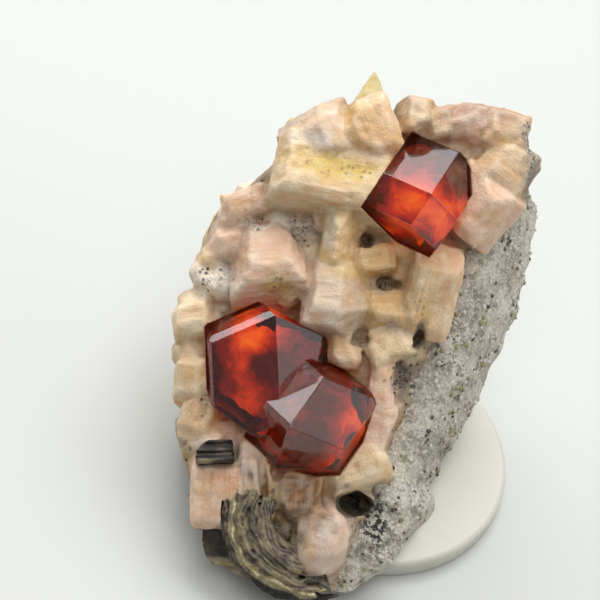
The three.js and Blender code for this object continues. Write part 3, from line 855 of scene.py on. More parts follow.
def box_cutter(name, top, turn=Matrix()):
    """A box whose upper side's middle is at top, turned round its own middle."""
    box = bmesh.new()
    bmesh.ops.create_cube(box, size=CUTTER_SIZE)
    middle = Matrix.Translation(Vector(top) - Vector((0, 0, CUTTER_SIZE / 2)))
    bmesh.ops.transform(box, matrix=middle @ turn, verts=box.verts[:])
    return shown(name, mesh_of(box, name))


edge_turn = Matrix.Rotation(math.atan2(EDGE_WAY[1], EDGE_WAY[0]), 4, "Z")
edge_middle = EDGE_AT + unit(EDGE_WAY) * (CRUST_PAST_EDGE + CUTTER_SIZE / 2)
under_base = box_cutter("under_base", (0, 0, DISC_THICKNESS))
under_base.data.transform(on_disc.inverted())
behind_crust = box_cutter("behind_crust", (0, 0, CRUST_BACK))
beside_crust = box_cutter("beside_crust", (edge_middle[0], edge_middle[1], CRUST_EDGE_TOP), edge_turn)
print("three boxes of", CUTTER_SIZE, "mm")

# %% [markdown]
# The bent book of mica needs room in the crust, or feldspar would show between its leaves. The room
# is two thick slices of a ring round the same centre line as the leaves, which reach different ways
# round. A dark cavity opens beside the boulder, and a lumpy plug cuts it out.

# %% Room for the bent book, and a cavity
FAN_CENTRE = (0.8, -19.4)
FAN_OUTER = 7.95
ROOM_BACK = -6.4
ROOM_FRONT = 6.0
ROOM_STEPS = 24
CAVITY_AT = (5.0, -18.5, -1.2)
CAVITY_SIZE = (3.3, 2.3, 6.0)


def ring_room(name, inner, outer, start, end):
    """A thick slice of a ring. Start and end are angles in degrees."""
    ring = bmesh.new()
    sections = []
    for i in range(ROOM_STEPS + 1):
        angle = math.radians(start + (end - start) * i / ROOM_STEPS)
        corners = ((inner, ROOM_BACK), (outer, ROOM_BACK), (outer, ROOM_FRONT), (inner, ROOM_FRONT))
        sections.append([
            ring.verts.new((FAN_CENTRE[0] + r * math.cos(angle), FAN_CENTRE[1] + r * math.sin(angle), z))
            for r, z in corners
        ])
    for one, two in zip(sections, sections[1:]):
        for k in range(4):
            ring.faces.new((one[k], one[(k + 1) % 4], two[(k + 1) % 4], two[k]))
    ring.faces.new(sections[0][::-1])
    ring.faces.new(sections[-1])
    bmesh.ops.recalc_face_normals(ring, faces=ring.faces[:])
    return shown(name, mesh_of(ring, name))


fan_rooms = [
    ring_room("fan_room_inner", 3.3, 5.7, 157, 250),
    ring_room("fan_room_outer", 5.5, FAN_OUTER, 170, 286),
]
plug_planes = [(n, r + n.dot(np.array(CAVITY_AT))) for n, r in lump_planes(CAVITY_SIZE, 5, 40, 0.2)]
cavity = shown("cavity", mesh_of(crystal_mesh(plug_planes), "cavity"))
print("the cavity's plug has", len(cavity.data.polygons), "faces")

# %% [markdown]
# The feldspar crust is the crowd of crystals and the bed under it, melted together. The bed rises a
# little above the rock where crystals cover it and sinks under the rock's skin where it is bare.

# %% Feldspar crust, melted into one skin
CRUST_VOXEL = 0.212
BED_THICKNESS = 1.2
BED_SINK = 0.6
BED_FINENESS = 5


def bed_offset(p):
    return covered(p) * (BED_THICKNESS + BED_SINK) - BED_SINK


crust_shells = [crystal_mesh(crystal["planes"]) for crystal in crowd]
crust_shells += [mass_shell(mass, bed_offset, BED_FINENESS) for mass in masses]
crust = melted("feldspar_crust", crust_shells, CRUST_VOXEL)
for cutter in (behind_crust, beside_crust):
    combined(crust, cutter, "DIFFERENCE", "MANIFOLD")
print("crust:", len(crust.data.polygons), "faces")

# %% [markdown]
# Iron has stained some places yellow and ochre, others are white, dark or hollow. Each entry gives a
# middle in x and y, a half length, a half width and a turn, a colour, how strong it is, how dark
# with specks the place is, and how far it is sunk. Later entries lie over earlier ones.

# %% Stains and hollows
stains = [
    (3.2, 9.9, 6.0, 1.8, -12, colour(192, 156, 108), 0.5, 0.0, 0.0),
    (11.8, 1.6, 2.4, 3.4, 0, colour(150, 118, 82), 0.5, 0.0, 0.0),
    (-6.9, -18.4, 3.4, 3.0, 0, colour(176, 142, 112), 0.45, 0.0, 0.0),
    (1.7, -21.8, 3.2, 4.0, 0, colour(186, 172, 160), 0.6, 0.0, 0.0),
    (4.6, 0.4, 2.0, 2.6, 0, colour(196, 164, 128), 0.35, 0.0, 0.0),
    (3.4, 12.0, 4.0, 1.2, -12, colour(208, 176, 78), 0.85, 0.3, 0.25),
    (3.6, 14.0, 4.4, 0.6, -11, colour(240, 234, 222), 0.7, 0.0, 0.0),
    (5.1, 16.2, 2.2, 1.1, -66, colour(212, 168, 88), 0.85, 0.1, 0.0),
    (6.6, 14.8, 1.8, 2.2, -60, colour(226, 182, 136), 0.7, 0.0, 0.0),
    (-1.9, 1.2, 1.4, 1.1, 20, colour(186, 160, 84), 0.75, 0.35, 0.0),
    (4.6, 2.7, 2.2, 0.9, -6, colour(220, 184, 108), 0.75, 0.1, 0.0),
    (6.5, 0.4, 0.6, 1.7, 0, colour(206, 162, 88), 0.7, 0.2, 0.0),
    (4.0, 5.2, 1.6, 2.2, 10, colour(244, 212, 156), 0.9, 0.1, 0.0),
    (2.6, 6.4, 0.6, 1.8, 0, colour(236, 230, 218), 0.7, 0.1, 0.0),
    (6.9, 3.5, 1.8, 1.1, 10, colour(218, 180, 112), 0.6, 0.2, 0.0),
    (11.0, -0.6, 0.8, 2.6, 8, colour(212, 176, 112), 0.55, 0.25, 0.0),
    (8.2, -1.4, 2.0, 1.4, -20, colour(204, 170, 104), 0.5, 0.15, 0.0),
    (8.6, -2.4, 1.3, 0.8, -20, colour(176, 146, 136), 0.5, 0.0, 0.0),
    (18.5, 14.6, 1.0, 0.8, 0, colour(204, 160, 84), 0.7, 0.1, 0.0),
    (15.4, 17.8, 5.6, 2.6, -6, colour(162, 122, 100), 0.9, 0.0, 0.0),
    (-7.1, -16.1, 1.8, 0.9, -10, colour(222, 152, 108), 0.75, 0.0, 0.0),
    (-0.2, -17.6, 3.0, 3.2, 0, colour(112, 70, 36), 1.0, 0.0, 0.0),
    # The next three dark entries also sink pits, and their dark colour is painted shade in the pits.
    (6.2, 5.3, 0.5, 0.5, 0, colour(60, 50, 36), 0.9, 0.6, 0.7),
    (10.8, -3.2, 0.5, 1.3, -15, colour(40, 38, 34), 0.9, 0.8, 1.0),
    (5.4, -3.6, 0.8, 0.7, 0, colour(70, 60, 44), 0.8, 0.6, 0.9),
    (9.3, -7.0, 1.4, 1.6, 0, colour(112, 114, 118), 0.6, 0.9, 0.3),
    # Near black in the cavity: painted shade.
    (5.0, -18.5, 1.5, 1.1, -20, colour(14, 14, 13), 1.0, 1.0, 0.6),
    (6.3, -20.6, 1.7, 2.8, -16, colour(136, 134, 126), 0.7, 0.75, 0.2),
    (-1.7, -21.4, 1.2, 2.2, 30, colour(112, 108, 86), 0.85, 0.7, 0.3),
    (21.0, 12.4, 0.9, 3.4, 8, colour(122, 120, 114), 0.8, 0.85, 0.1),
    (7.4, 1.2, 1.2, 0.9, 0, colour(190, 188, 180), 0.5, 0.8, 0.2),
    (-8.6, -9.4, 0.5, 1.4, 0, colour(150, 130, 98), 0.6, 0.5, 0.3),
    (12.0, 1.6, 0.6, 1.6, 0, colour(206, 166, 96), 0.5, 0.1, 0.0),
    (-7.6, 1.8, 2.0, 1.4, 0, colour(232, 228, 220), 0.7, 0.6, 0.0),
    (-4.4, 7.0, 1.2, 1.0, 0, colour(200, 196, 186), 0.4, 0.7, 0.2),
    (0.2, 6.4, 1.6, 1.2, -40, colour(206, 202, 190), 0.5, 0.8, 0.2),
    (-7.4, -22.2, 2.1, 1.3, 0, colour(52, 44, 40), 1.0, 0.6, 0.2),
    (-7.4, -23.6, 1.4, 0.6, -30, colour(104, 110, 52), 0.9, 0.4, 0.1),
    (-3.0, -14.6, 1.6, 2.0, 0, colour(196, 178, 168), 0.4, 0.2, 0.0),
]
print(len(stains), "stains and hollows")

# %% [markdown]
# What differs from place to place is stored on the mesh as attributes: one number, one vector or one
# colour for each point, which geometry trees and materials read by name.

# %% Points and attributes
ATTRIBUTE_KINDS = {1: ("FLOAT", "value"), 3: ("FLOAT_VECTOR", "vector"), 4: ("FLOAT_COLOR", "color")}


def points_of(mesh):
    flat = np.empty(len(mesh.vertices) * 3, np.float32)
    mesh.vertices.foreach_get("co", flat)
    return flat.reshape(-1, 3).astype(float)


def give(mesh, name, values):
    kind, key = ATTRIBUTE_KINDS[1 if values.ndim == 1 else values.shape[1]]
    old = mesh.attributes.get(name)
    if old:
        mesh.attributes.remove(old)
    mesh.attributes.new(name, kind, "POINT").data.foreach_set(key, values.ravel().astype(np.float32))


print("the crust has", len(points_of(crust.data)), "points")

# %% [markdown]
# Hollows between crystals are darkened later as painted shade. To find them, the skin is seen from the
# front as a grid of heights, each cell takes the highest skin around it, and a point is as deep in a
# hollow as it lies under that.

# %% How deep a point lies in a hollow
HOLLOW_CELL = 0.5
HOLLOW_REACH = 3


def hollow_depth(points):
    place = np.floor(points[:, :2] / HOLLOW_CELL).astype(int)
    place -= place.min(axis=0)
    row, column = place[:, 0] + HOLLOW_REACH, place[:, 1] + HOLLOW_REACH
    high = np.full(place.max(axis=0) + 1 + 2 * HOLLOW_REACH, points[:, 2].min())
    np.maximum.at(high, (row, column), points[:, 2])
    highest = high.copy()
    for dx in range(-HOLLOW_REACH, HOLLOW_REACH + 1):
        for dy in range(-HOLLOW_REACH, HOLLOW_REACH + 1):
            if dx * dx + dy * dy <= HOLLOW_REACH * HOLLOW_REACH + 1:
                highest = np.maximum(highest, np.roll(high, (dx, dy), axis=(0, 1)))
    return highest[row, column] - points[:, 2]


print("deepest hollow:", round(float(hollow_depth(points_of(crust.data)).max()), 1), "mm")

# %% [markdown]
# Each point of the skin is told which crystal it belongs to: the one whose planes it lies nearest to.
# From that come how far it is from that crystal's surface, so whether it is bed between crystals, and
# how near it is to one of the crystal's edges.

# %% Which crystal a point belongs to
def owners(points, crystals):
    nearest = np.full(len(points), np.inf)
    owner = np.zeros(len(points), int)
    from_edge = np.zeros(len(points))
    for i, crystal in enumerate(crystals):
        normals = np.array([n for n, r in crystal["planes"]])
        reaches = np.array([r for n, r in crystal["planes"]])
        away = points @ normals.T - reaches
        away.partition(away.shape[1] - 2, axis=1)
        outside = away[:, -1]
        nearer = np.abs(outside) < nearest
        nearest[nearer] = np.abs(outside)[nearer]
        owner[nearer] = i
        from_edge[nearer] = (outside - away[:, -2])[nearer]
    return nearest, owner, from_edge


print("crystals to choose from:", len(crowd))

# %% [markdown]
# The stains are laid over the crystals' tones with a torn edge. The same pass gathers how dark with
# specks a point is and how far it is sunk. Stains stop at the flanks, except at the lower end, where
# they run further round.

# %% Stains on the skin
FLANK_DEPTH = 7.5
LOWER_END = -19.0
LOWER_END_EXTRA = 8.0
FLANK_BLEND = 1.5


def stained(points, tone, dark):
    torn_edge = 0.25 * ripple(points, 0.9, 2.7) + 0.15 * ripple(points, 0.4, 8.1)
    depth_seen = FLANK_DEPTH + LOWER_END_EXTRA * (points[:, 1] < LOWER_END)
    front = np.clip((points[:, 2] + depth_seen) / FLANK_BLEND, 0, 1)
    sunk = np.zeros(len(points))
    specked = np.zeros(len(points))
    for x, y, length, width, turn, stain, strength, specks, depth in stains:
        angle = math.radians(turn)
        dx, dy = points[:, 0] - x, points[:, 1] - y
        u = (dx * math.cos(angle) + dy * math.sin(angle)) / length
        v = (dy * math.cos(angle) - dx * math.sin(angle)) / width
        share = np.clip(1.55 - np.hypot(u, v) * 1.1 + torn_edge, 0, 1) * front
        tone += (np.array(stain) - tone) * (strength * share)[:, None]
        dark = np.maximum(dark, specks * share)
        sunk = np.maximum(sunk, depth * share)
        specked = np.maximum(specked, specks * share)
    tone[:, 3] = 1
    return tone, dark, sunk, specked


print("stains stop", FLANK_DEPTH, "mm behind the crystal face")

# %% [markdown]
# Now the skin gets all its attributes: the tone, how near a point is to a crystal's edge, how deep in
# a hollow, how dark with specks, how far sunk, how lined and rough its crystal is, and its place
# along the crystal's own axes, which growth lines follow. Each crystal starts those lines elsewhere.
# The paler edges are a painted highlight, the hollows are painted shade, and the dark with specks is
# the bed's own specks with painted shade added in the hollows.

# %% Attributes of the crust
BED_REACH = 0.32
BED_BLEND = 0.25
RIM_WIDTH = 0.4
HOLLOW_START = 1.2
HOLLOW_BLEND = 3.2
HOLLOW_BACK = -6.5
LINE_OFFSET = 7.3


def label_crystals(mesh, crystals):
    points = points_of(mesh)
    nearest, owner, from_edge = owners(points, crystals)
    bed = np.clip((nearest - BED_REACH) / BED_BLEND, 0, 1)
    tones = np.array([TONES[crystal["tone"]] for crystal in crystals])
    shade = np.array([varied(0.9, 1.1, i + 3, 7) for i in range(len(crystals))])
    # The bed between crystals gets its own darker tone: partly its own colour, partly painted shade in the
    # crevices.
    tone = (tones * shade[:, None])[owner] * (1 - bed)[:, None] + np.array(TONES["bed"]) * bed[:, None]
    hollow = np.clip((hollow_depth(points) - HOLLOW_START) / HOLLOW_BLEND, 0, 1)
    hollow *= points[:, 2] > HOLLOW_BACK
    # The bed starts dark with its own specks, and darker again in the hollows, which is painted shade.
    tone, dark, sunk, specked = stained(points, tone, bed * (0.34 + 0.4 * hollow))
    lined = np.array([crystal["lined"] for crystal in crystals])[owner] * (1 - bed)
    coarse = np.array([crystal["coarse"] for crystal in crystals])[owner] * (1 - bed)
    centres = np.array([crystal["centre"] for crystal in crystals])[owner]
    matrices = np.array([crystal["matrix"] for crystal in crystals])[owner]
    give(mesh, "tone", tone)
    # Crystal edges get a paler rim: a painted highlight.
    give(mesh, "rim", np.clip(1 - from_edge / RIM_WIDTH, 0, 1) * (1 - bed))
    give(mesh, "hollow", hollow)
    give(mesh, "dark", dark)
    give(mesh, "sunk", sunk)
    give(mesh, "lined", lined)
    give(mesh, "coarse", coarse + bed + 1.8 * specked)
    give(mesh, "along", np.einsum("nji,nj->ni", matrices, points - centres) + owner[:, None] * LINE_OFFSET)
    return bed


bed = label_crystals(crust.data, crowd)
print("share of the skin that is bed:", round(float(bed.mean()), 3))

# %% [markdown]
# Geometry trees here have the same start and end: a geometry and some named numbers and a material
# come in, and plain geometry that wears the material goes out. Two helpers make that frame, and a
# third runs a tree on a piece and keeps the plain result.

# %% Helpers for geometry trees
def geometry_tree(name, numbers):
    tree = bpy.data.node_groups.new(name, "GeometryNodeTree")
    tree.interface.new_socket("Geometry", in_out="INPUT", socket_type="NodeSocketGeometry")
    for number, start in numbers.items():
        kind = "NodeSocketInt" if isinstance(start, int) else "NodeSocketFloat"
        tree.interface.new_socket(number, in_out="INPUT", socket_type=kind).default_value = start
    tree.interface.new_socket("Material", in_out="INPUT", socket_type="NodeSocketMaterial")
    tree.interface.new_socket("Geometry", in_out="OUTPUT", socket_type="NodeSocketGeometry")
    return tree, add(tree, "NodeGroupInput").outputs


def close_tree(tree, geometry, finish):
    plain = add(tree, "GeometryNodeRealizeInstances", {0: geometry}).outputs[0]
    dressed = add(tree, "GeometryNodeSetMaterial", {"Geometry": plain, "Material": finish})
    add(tree, "NodeGroupOutput", {0: dressed.outputs[0]})
    print(tree.name, "has", len(tree.nodes), "nodes")


def run_tree(piece, tree, **values):
    step = piece.modifiers.new("tree", "NODES")
    step.node_group = tree
    for item in tree.interface.items_tree:
        key = item.name.replace(" ", "_")
        if item.in_out == "INPUT" and key in values:
            step[item.identifier] = values[key]
    return settle(piece)


def stored(tree, name, kind="FLOAT"):
    return add(tree, "GeometryNodeInputNamedAttribute", {"Name": name}, data_type=kind).outputs[0]


def by_chance(tree, low, high, seed, kind="FLOAT"):
    """A number or vector between low and high, another one for each point or leaf."""
    first = 2 if kind == "FLOAT" else 0
    inputs = {first: low, first + 1: high, "Seed": seed}
    return add(tree, "FunctionNodeRandomValue", inputs, data_type=kind).outputs[first // 2]


print("geometry helpers are ready")

# %% [markdown]
# Relief comes from a Geometry Nodes tree that moves each point along its normal. Broad noise makes
# the shapes uneven, noise stretched along the crystal makes growth lines, and scattered cells make
# pits. The tree has named inputs, so it also serves the bare rock, the hearts, the mica and the
# yellow wedge. Left alone, it makes no lines and no pits.

# %% A relief tree
SWELLS = {"Swell": 0.1, "Swell size": 2.0, "Grain": 0.1, "Grain size": 0.5}
MARKS = {"Lines": 0.0, "Line size": 1.0, "Pits": 0.0, "Pit size": 1.0}
ALONG_LINES = (0.16, 1.0, 1.0)

relief, wanted = geometry_tree("relief", {**SWELLS, **MARKS})
spot = add(relief, "GeometryNodeInputPosition").outputs[0]
finer = {size: calc(relief, "DIVIDE", 1.0, wanted[size]) for size in wanted.keys() if size.endswith(" size")}


def centred(tree, value, depth):
    """Noise from 0 to 1 as a height that goes up and down by depth."""
    return times(tree, minus(tree, value, 0.5), times(tree, depth, 4.0))


swell = noise(relief, spot, finer["Swell size"], 1.0)
line_place = stretched(relief, stored(relief, "along", "FLOAT_VECTOR"), ALONG_LINES)
lines = noise(relief, line_place, finer["Line size"], 1.5)
grains = noise(relief, spot, finer["Grain size"], 2.0, 0.7)
pit_cells = add(relief, "ShaderNodeTexVoronoi", {"Vector": spot, "Scale": finer["Pit size"]})
pit_shape = between(relief, pit_cells.outputs["Distance"], 0.42, 0.12)
pit_chance = between(relief, noise(relief, spot, 0.35, 1.0), 0.45, 0.62)
pits = times(relief, times(relief, pit_shape, pit_chance), wanted["Pits"])
line_depth = times(relief, wanted["Lines"], stored(relief, "lined"))
grain_depth = times(relief, wanted["Grain"], plus(relief, stored(relief, "coarse"), 0.3))
height = centred(relief, swell, wanted["Swell"])
height = plus(relief, height, centred(relief, lines, line_depth))
height = plus(relief, height, centred(relief, grains, grain_depth))
height = minus(relief, height, plus(relief, pits, stored(relief, "sunk")))
normal = add(relief, "GeometryNodeInputNormal").outputs[0]
push = add(relief, "ShaderNodeVectorMath", {0: normal, "Scale": height}, operation="SCALE").outputs[0]
moved = add(relief, "GeometryNodeSetPosition", {"Geometry": wanted["Geometry"], "Offset": push})
close_tree(relief, moved.outputs[0], wanted["Material"])

# %% [markdown]
# The heart itself is the garnet's shape drawn in, melted, and made rough by the relief tree. Its
# colour, which it also emits as painted glow, runs from nearly black over deep red to bright orange.
# Flaky noise breaks the glow up.

# %% Garnet hearts, a painted glow
HEART_SHADES = [
    (0.0, (0.07, 0.004, 0.003, 1)),
    (0.25, (0.26, 0.012, 0.006, 1)),
    (0.55, (0.62, 0.050, 0.006, 1)),
    (0.85, (1.0, 0.19, 0.012, 1)),
    (1.0, (1.0, 0.32, 0.03, 1)),
]
HEART_LIGHT = 0.55
HEART_WEAR = 0.3
HEART_VOXEL = 0.22


def own_value(tree, name):
    return add(tree, "ShaderNodeAttribute", attribute_name=name).outputs


# The heart emits light of its own: a painted glow inside the garnet, though it is no lamp.
heart_glow, heart_tree, heart_shader = material("garnet_heart", Roughness=0.6, Emission_Strength=HEART_LIGHT)
heart_place = add(heart_tree, "ShaderNodeTexCoord").outputs["Object"]
flake_inputs = {"Vector": heart_place, "Scale": 620.0, "Detail": 4.0, "Roughness": 0.62, "Distortion": 0.8}
flakes = add(heart_tree, "ShaderNodeTexNoise", flake_inputs).outputs[0]
uneven = between(heart_tree, flakes, 0.25, 0.75, -0.22, 0.22)
heart_colour = ramp(heart_tree, plus(heart_tree, own_value(heart_tree, "glow")["Fac"], uneven), HEART_SHADES)
feed(heart_tree, heart_shader, Base_Color=heart_colour, Emission_Color=heart_colour)

hearts = []
for name, plan in garnets.items():
    heart_shell = crystal_mesh(garnet_planes(plan, -HEART_DEPTH), HEART_WEAR)
    heart = melted(f"garnet_heart_{name}", [heart_shell], HEART_VOXEL)
    run_tree(heart, relief, Swell=0.5, Swell_size=2.0, Grain=0.12, Grain_size=0.6, Material=heart_glow)
    give(heart.data, "glow", glow_at(points_of(heart.data), heart_glow_places[name]))
    hearts.append(heart)
    print(name, "heart:", len(heart.data.polygons), "faces")

# %% [markdown]
# Feldspar looks dry and slightly chalky. Its tone comes from the crystal it belongs to, clouds of
# white and iron ochre lie over it, growth lines run along it, its edges are paler as a painted
# highlight, and the hollows between crystals are darkened as painted shade, where dark specks and
# crumbs sit too.

# %% Feldspar material
feldspar, feldspar_tree, feldspar_shader = material("feldspar", Roughness=0.5, IOR=1.53)
skin = mottled(feldspar_tree, 1.5, 0.22, 0.52, 0.5)
iron = mottled(feldspar_tree, 3.6, 0.5, 1.0, 0.1)
line_way = stretched(feldspar_tree, own_value(feldspar_tree, "along")["Vector"], (0.10, 1.0, 1.0))
fine_lines = noise(feldspar_tree, line_way, 2.6, 4.0, 0.65)
lined = own_value(feldspar_tree, "lined")["Fac"]
dark_place = own_value(feldspar_tree, "dark")["Fac"]


def share_of(value, low, high, most):
    return times(feldspar_tree, between(feldspar_tree, value, low, high), most)


streak = times(feldspar_tree, between(feldspar_tree, fine_lines, 0.46, 0.30), lined)
# Paler crystal edges: a painted highlight.
edge = times(feldspar_tree, own_value(feldspar_tree, "rim")["Fac"], 0.18)
# Hollows are darkened towards brown: painted shade.
deep = times(feldspar_tree, own_value(feldspar_tree, "hollow")["Fac"], 0.6)
specks = times(feldspar_tree, skin["Speck"], between(feldspar_tree, dark_place, 0.1, 0.45))
crumbs = share_of(skin["Grain"], 0.42, 0.30, between(feldspar_tree, dark_place, 0.3, 0.9))
feldspar_body = layered(feldspar_tree, own_value(feldspar_tree, "tone")["Color"], [
    (share_of(skin["Clouds"], 0.45, 1.0, 0.35), colour(238, 226, 200)),
    (share_of(skin["Clouds"], 0.45, 0.0, 0.5), colour(212, 162, 120)),
    (share_of(iron["Clouds"], 0.58, 0.9, 0.5), colour(206, 158, 84)),
    (times(feldspar_tree, streak, 0.55), colour(178, 140, 104)),
    (share_of(fine_lines, 0.56, 0.70, 0.28), colour(240, 228, 206)),
    (edge, colour(242, 232, 212)),
    (deep, colour(104, 80, 52)),
    (calc(feldspar_tree, "MAXIMUM", specks, crumbs), colour(44, 42, 38)),
    # Near black where dark is strongest, mostly in the cavity: painted shade there.
    (between(feldspar_tree, dark_place, 0.85, 0.98), colour(14, 14, 13)),
])
feldspar_rough = between(feldspar_tree, skin["Grain"], 0.0, 1.0, 0.32, 0.66)
feed(feldspar_tree, feldspar_shader, Base_Color=feldspar_body, Roughness=feldspar_rough)
line_tooth = times(feldspar_tree, fine_lines, plus(feldspar_tree, lined, 0.4))
tooth = plus(feldspar_tree, line_tooth, times(feldspar_tree, skin["Grain"], 0.6))
roughen(feldspar_tree, feldspar_shader, tooth, 0.6, 0.00014)
print("feldspar has", len(feldspar_tree.nodes), "nodes")

# %% [markdown]
# The crust now gets its relief, is melted once more so that moved faces are even again, and is cut
# for the base, the bent book of mica, the cavity and the garnets. Melting and cutting lose
# attributes, so the skin is labelled again.

# %% Crust with relief
def wear_only(piece, finish):
    piece.data.materials.clear()
    piece.data.materials.append(finish)


run_tree(
    crust, relief, Swell=0.09, Swell_size=2.2, Lines=0.12, Line_size=0.5,
    Grain=0.11, Grain_size=0.8, Pits=0.3, Pit_size=1.0, Material=feldspar,
)
melt(crust, CRUST_VOXEL)
for cutter in (under_base, *fan_rooms, cavity, *sockets):
    combined(crust, cutter, "DIFFERENCE", "MANIFOLD")
label_crystals(crust.data, crowd)
wear_only(crust, feldspar)
print("crust after relief:", len(crust.data.polygons), "faces")

# %% [markdown]
# The rock's finish is grey with paler and darker clouds, pale and dark grains, and olive and black
# specks. Black crumbs gather where an attribute asks for them.

# %% Rock material
rock_grey, rock_tree, rock_shader = material("grey_rock", Roughness=0.8, IOR=1.5)
stone_marks = mottled(rock_tree, 3.6, 0.3, 0.62, 0.09)
olive_marks = mottled(rock_tree, 1.1, 0.5, 1.1, 0.14)
dusk = times(rock_tree, between(rock_tree, olive_marks["Clouds"], 0.52, 0.85), 0.75)
black_crumbs = between(rock_tree, olive_marks["Grain"], 0.62, 0.45)
rock_body = layered(rock_tree, colour(172, 166, 150), [
    (stone_marks["Clouds"], colour(206, 199, 183)),
    (dusk, colour(126, 119, 100)),
    (between(rock_tree, stone_marks["Grain"], 0.5, 0.9, 0.0, 0.7), colour(232, 227, 216)),
    (between(rock_tree, stone_marks["Grain"], 0.32, 0.1, 0.0, 0.6), colour(120, 114, 102)),
    (times(rock_tree, olive_marks["Speck"], 0.75), colour(138, 132, 90)),
    (stone_marks["Speck"], colour(62, 60, 56)),
    (times(rock_tree, black_crumbs, own_value(rock_tree, "crumbly")["Fac"]), colour(50, 52, 48)),
    (own_value(rock_tree, "dark")["Fac"], colour(14, 14, 13)),
])
rock_rough = between(rock_tree, stone_marks["Grain"], 0.0, 1.0, 0.65, 0.95)
feed(rock_tree, rock_shader, Base_Color=rock_body, Roughness=rock_rough)
roughen(rock_tree, rock_shader, minus(rock_tree, stone_marks["Grain"], stone_marks["Speck"]), 0.7, 0.00014)
print("grey rock has", len(rock_tree.nodes), "nodes")

# %% [markdown]
# The bare rock is made like the crust: shells, melting, relief, melting, cuts. Its relief has coarser
# grains, deeper pits and no growth lines. Under the crust it lies a little lower, so that the two
# skins don't lie in each other.

# %% Grey rock
ROCK_VOXEL = 0.3
ROCK_FINENESS = 6
ROCK_COARSENESS = 0.7
HIDDEN_DROP = 0.8


def rock_offset(p):
    return (1 - covered(p)) * 0.22 * ripple(p, 1.5, 4.1) - covered(p) * HIDDEN_DROP


rock_shells = [mass_shell(mass, rock_offset, ROCK_FINENESS) for mass in masses]
rock = melted("grey_rock", rock_shells, ROCK_VOXEL)
give(rock.data, "coarse", np.full(len(rock.data.vertices), ROCK_COARSENESS))
run_tree(
    rock, relief, Swell=0.16, Swell_size=2.2, Grain=0.13, Grain_size=0.75,
    Pits=0.4, Pit_size=1.2, Material=rock_grey,
)
melt(rock, ROCK_VOXEL)
for cutter in (under_base, cavity, *sockets):
    combined(rock, cutter, "DIFFERENCE", "MANIFOLD")
wear_only(rock, rock_grey)
print("rock:", len(rock.data.polygons), "faces")

# %% [markdown]
# The rock has a few darker patches, and the cavity goes on into it, painted near black there as
# painted shade. Each patch is an ellipse in the crystal face: a middle, half a length, half a width,
# and how strong it is.

# %% Dark marks on the rock
dark_marks = [
    (6.8, -20.4, 1.5, 2.8, 1.0),
    (9.6, -7.4, 1.6, 1.6, 0.8),
    (10.9, -3.4, 0.9, 1.4, 0.8),
    (14.6, 4.6, 1.2, 1.4, 0.6),
    (20.8, 12.8, 0.8, 3.4, 0.9),
    (17.6, 8.0, 0.8, 1.8, 0.5),
    (12.8, -14.2, 1.6, 1.2, 0.4),
    (15.0, -2.0, 1.2, 1.8, 0.35),
]


def near(points, x, y, half_length, half_width):
    """1 in the middle of an ellipse in the crystal face, falling to 0 outside it."""
    away = np.hypot((points[:, 0] - x) / half_length, (points[:, 1] - y) / half_width)
    return np.clip(1.6 - 1.1 * away, 0, 1)


rock_points = points_of(rock.data)
crumbly = np.max([strength * near(rock_points, x, y, a, b) for x, y, a, b, strength in dark_marks], axis=0)
give(rock.data, "crumbly", crumbly)
# The cavity's walls in the rock are painted near black: painted shade.
give(rock.data, "dark", near(rock_points, CAVITY_AT[0], CAVITY_AT[1], 1.9, 1.4))
print(len(dark_marks), "dark marks")

# %% [markdown]
# Small grains of dark and pale minerals stand out of the bare rock. Scattering them by hand would
# take days, so a tree spreads points over the skin, keeps those on the bare side, and puts one small
# faceted grain on each, turned and sized by chance with a fixed seed.

# %% A tree that scatters grains
FULL_TURN = (6.28, 6.28, 6.28)
NARROWEST = (0.6, 0.6, 0.6)
WIDEST = (1.3, 1.1, 1.0)

scatter_numbers = {"Per square mm": 1.0, "Smallest": 0.1, "Largest": 0.3, "Patchiness": 0.5, "Seed": 1}
scatter, want = geometry_tree("scatter_grains", scatter_numbers)
site = add(scatter, "GeometryNodeInputPosition").outputs[0]
patches = between(scatter, noise(scatter, site, 0.45, 1.0), want["Patchiness"], 0.62)
density = times(scatter, times(scatter, patches, stored(scatter, "bare")), want["Per square mm"])
places = {"Mesh": want["Geometry"], "Density": density, "Seed": want["Seed"]}
spread_out = add(scatter, "GeometryNodeDistributePointsOnFaces", places).outputs[0]
grain_shape = add(scatter, "GeometryNodeMeshIcoSphere", {"Radius": 1.0, "Subdivisions": 1}).outputs[0]
grain_size = by_chance(scatter, want["Smallest"], want["Largest"], want["Seed"])
spin = by_chance(scatter, (0.0, 0.0, 0.0), FULL_TURN, want["Seed"], "FLOAT_VECTOR")
squeeze = by_chance(scatter, NARROWEST, WIDEST, want["Seed"], "FLOAT_VECTOR")
sizes = add(scatter, "ShaderNodeVectorMath", {0: squeeze, "Scale": grain_size}, operation="SCALE").outputs[0]
each = {"Points": spread_out, "Instance": grain_shape, "Rotation": spin, "Scale": sizes}
close_tree(scatter, add(scatter, "GeometryNodeInstanceOnPoints", each).outputs[0], want["Material"])

# %% [markdown]
# The points need to know where the rock is bare, so the rock gets one more attribute first. It leaves
# out what the crystals cover, what is low on the disc, and what lies under a garnet or in the cavity.

# %% Where the rock is bare
LOWEST_GRAIN = 0.35
GARNET_ROOM = 0.3


def mark_bare(piece):
    points = points_of(piece.data)
    row_height = (np.array(on_disc)[2, :3] @ points.T) + on_disc[2][3]
    bare_side = (1 - covered(points)) * (row_height > DISC_THICKNESS + LOWEST_GRAIN)
    for plan in garnets.values():
        inside = np.all([points @ n < r for n, r in garnet_planes(plan, GARNET_ROOM)], axis=0)
        bare_side[inside] = 0
    bare_side *= near(points, CAVITY_AT[0], CAVITY_AT[1], 2.0, 1.6) < 0.05
    give(piece.data, "bare", bare_side)
    return bare_side


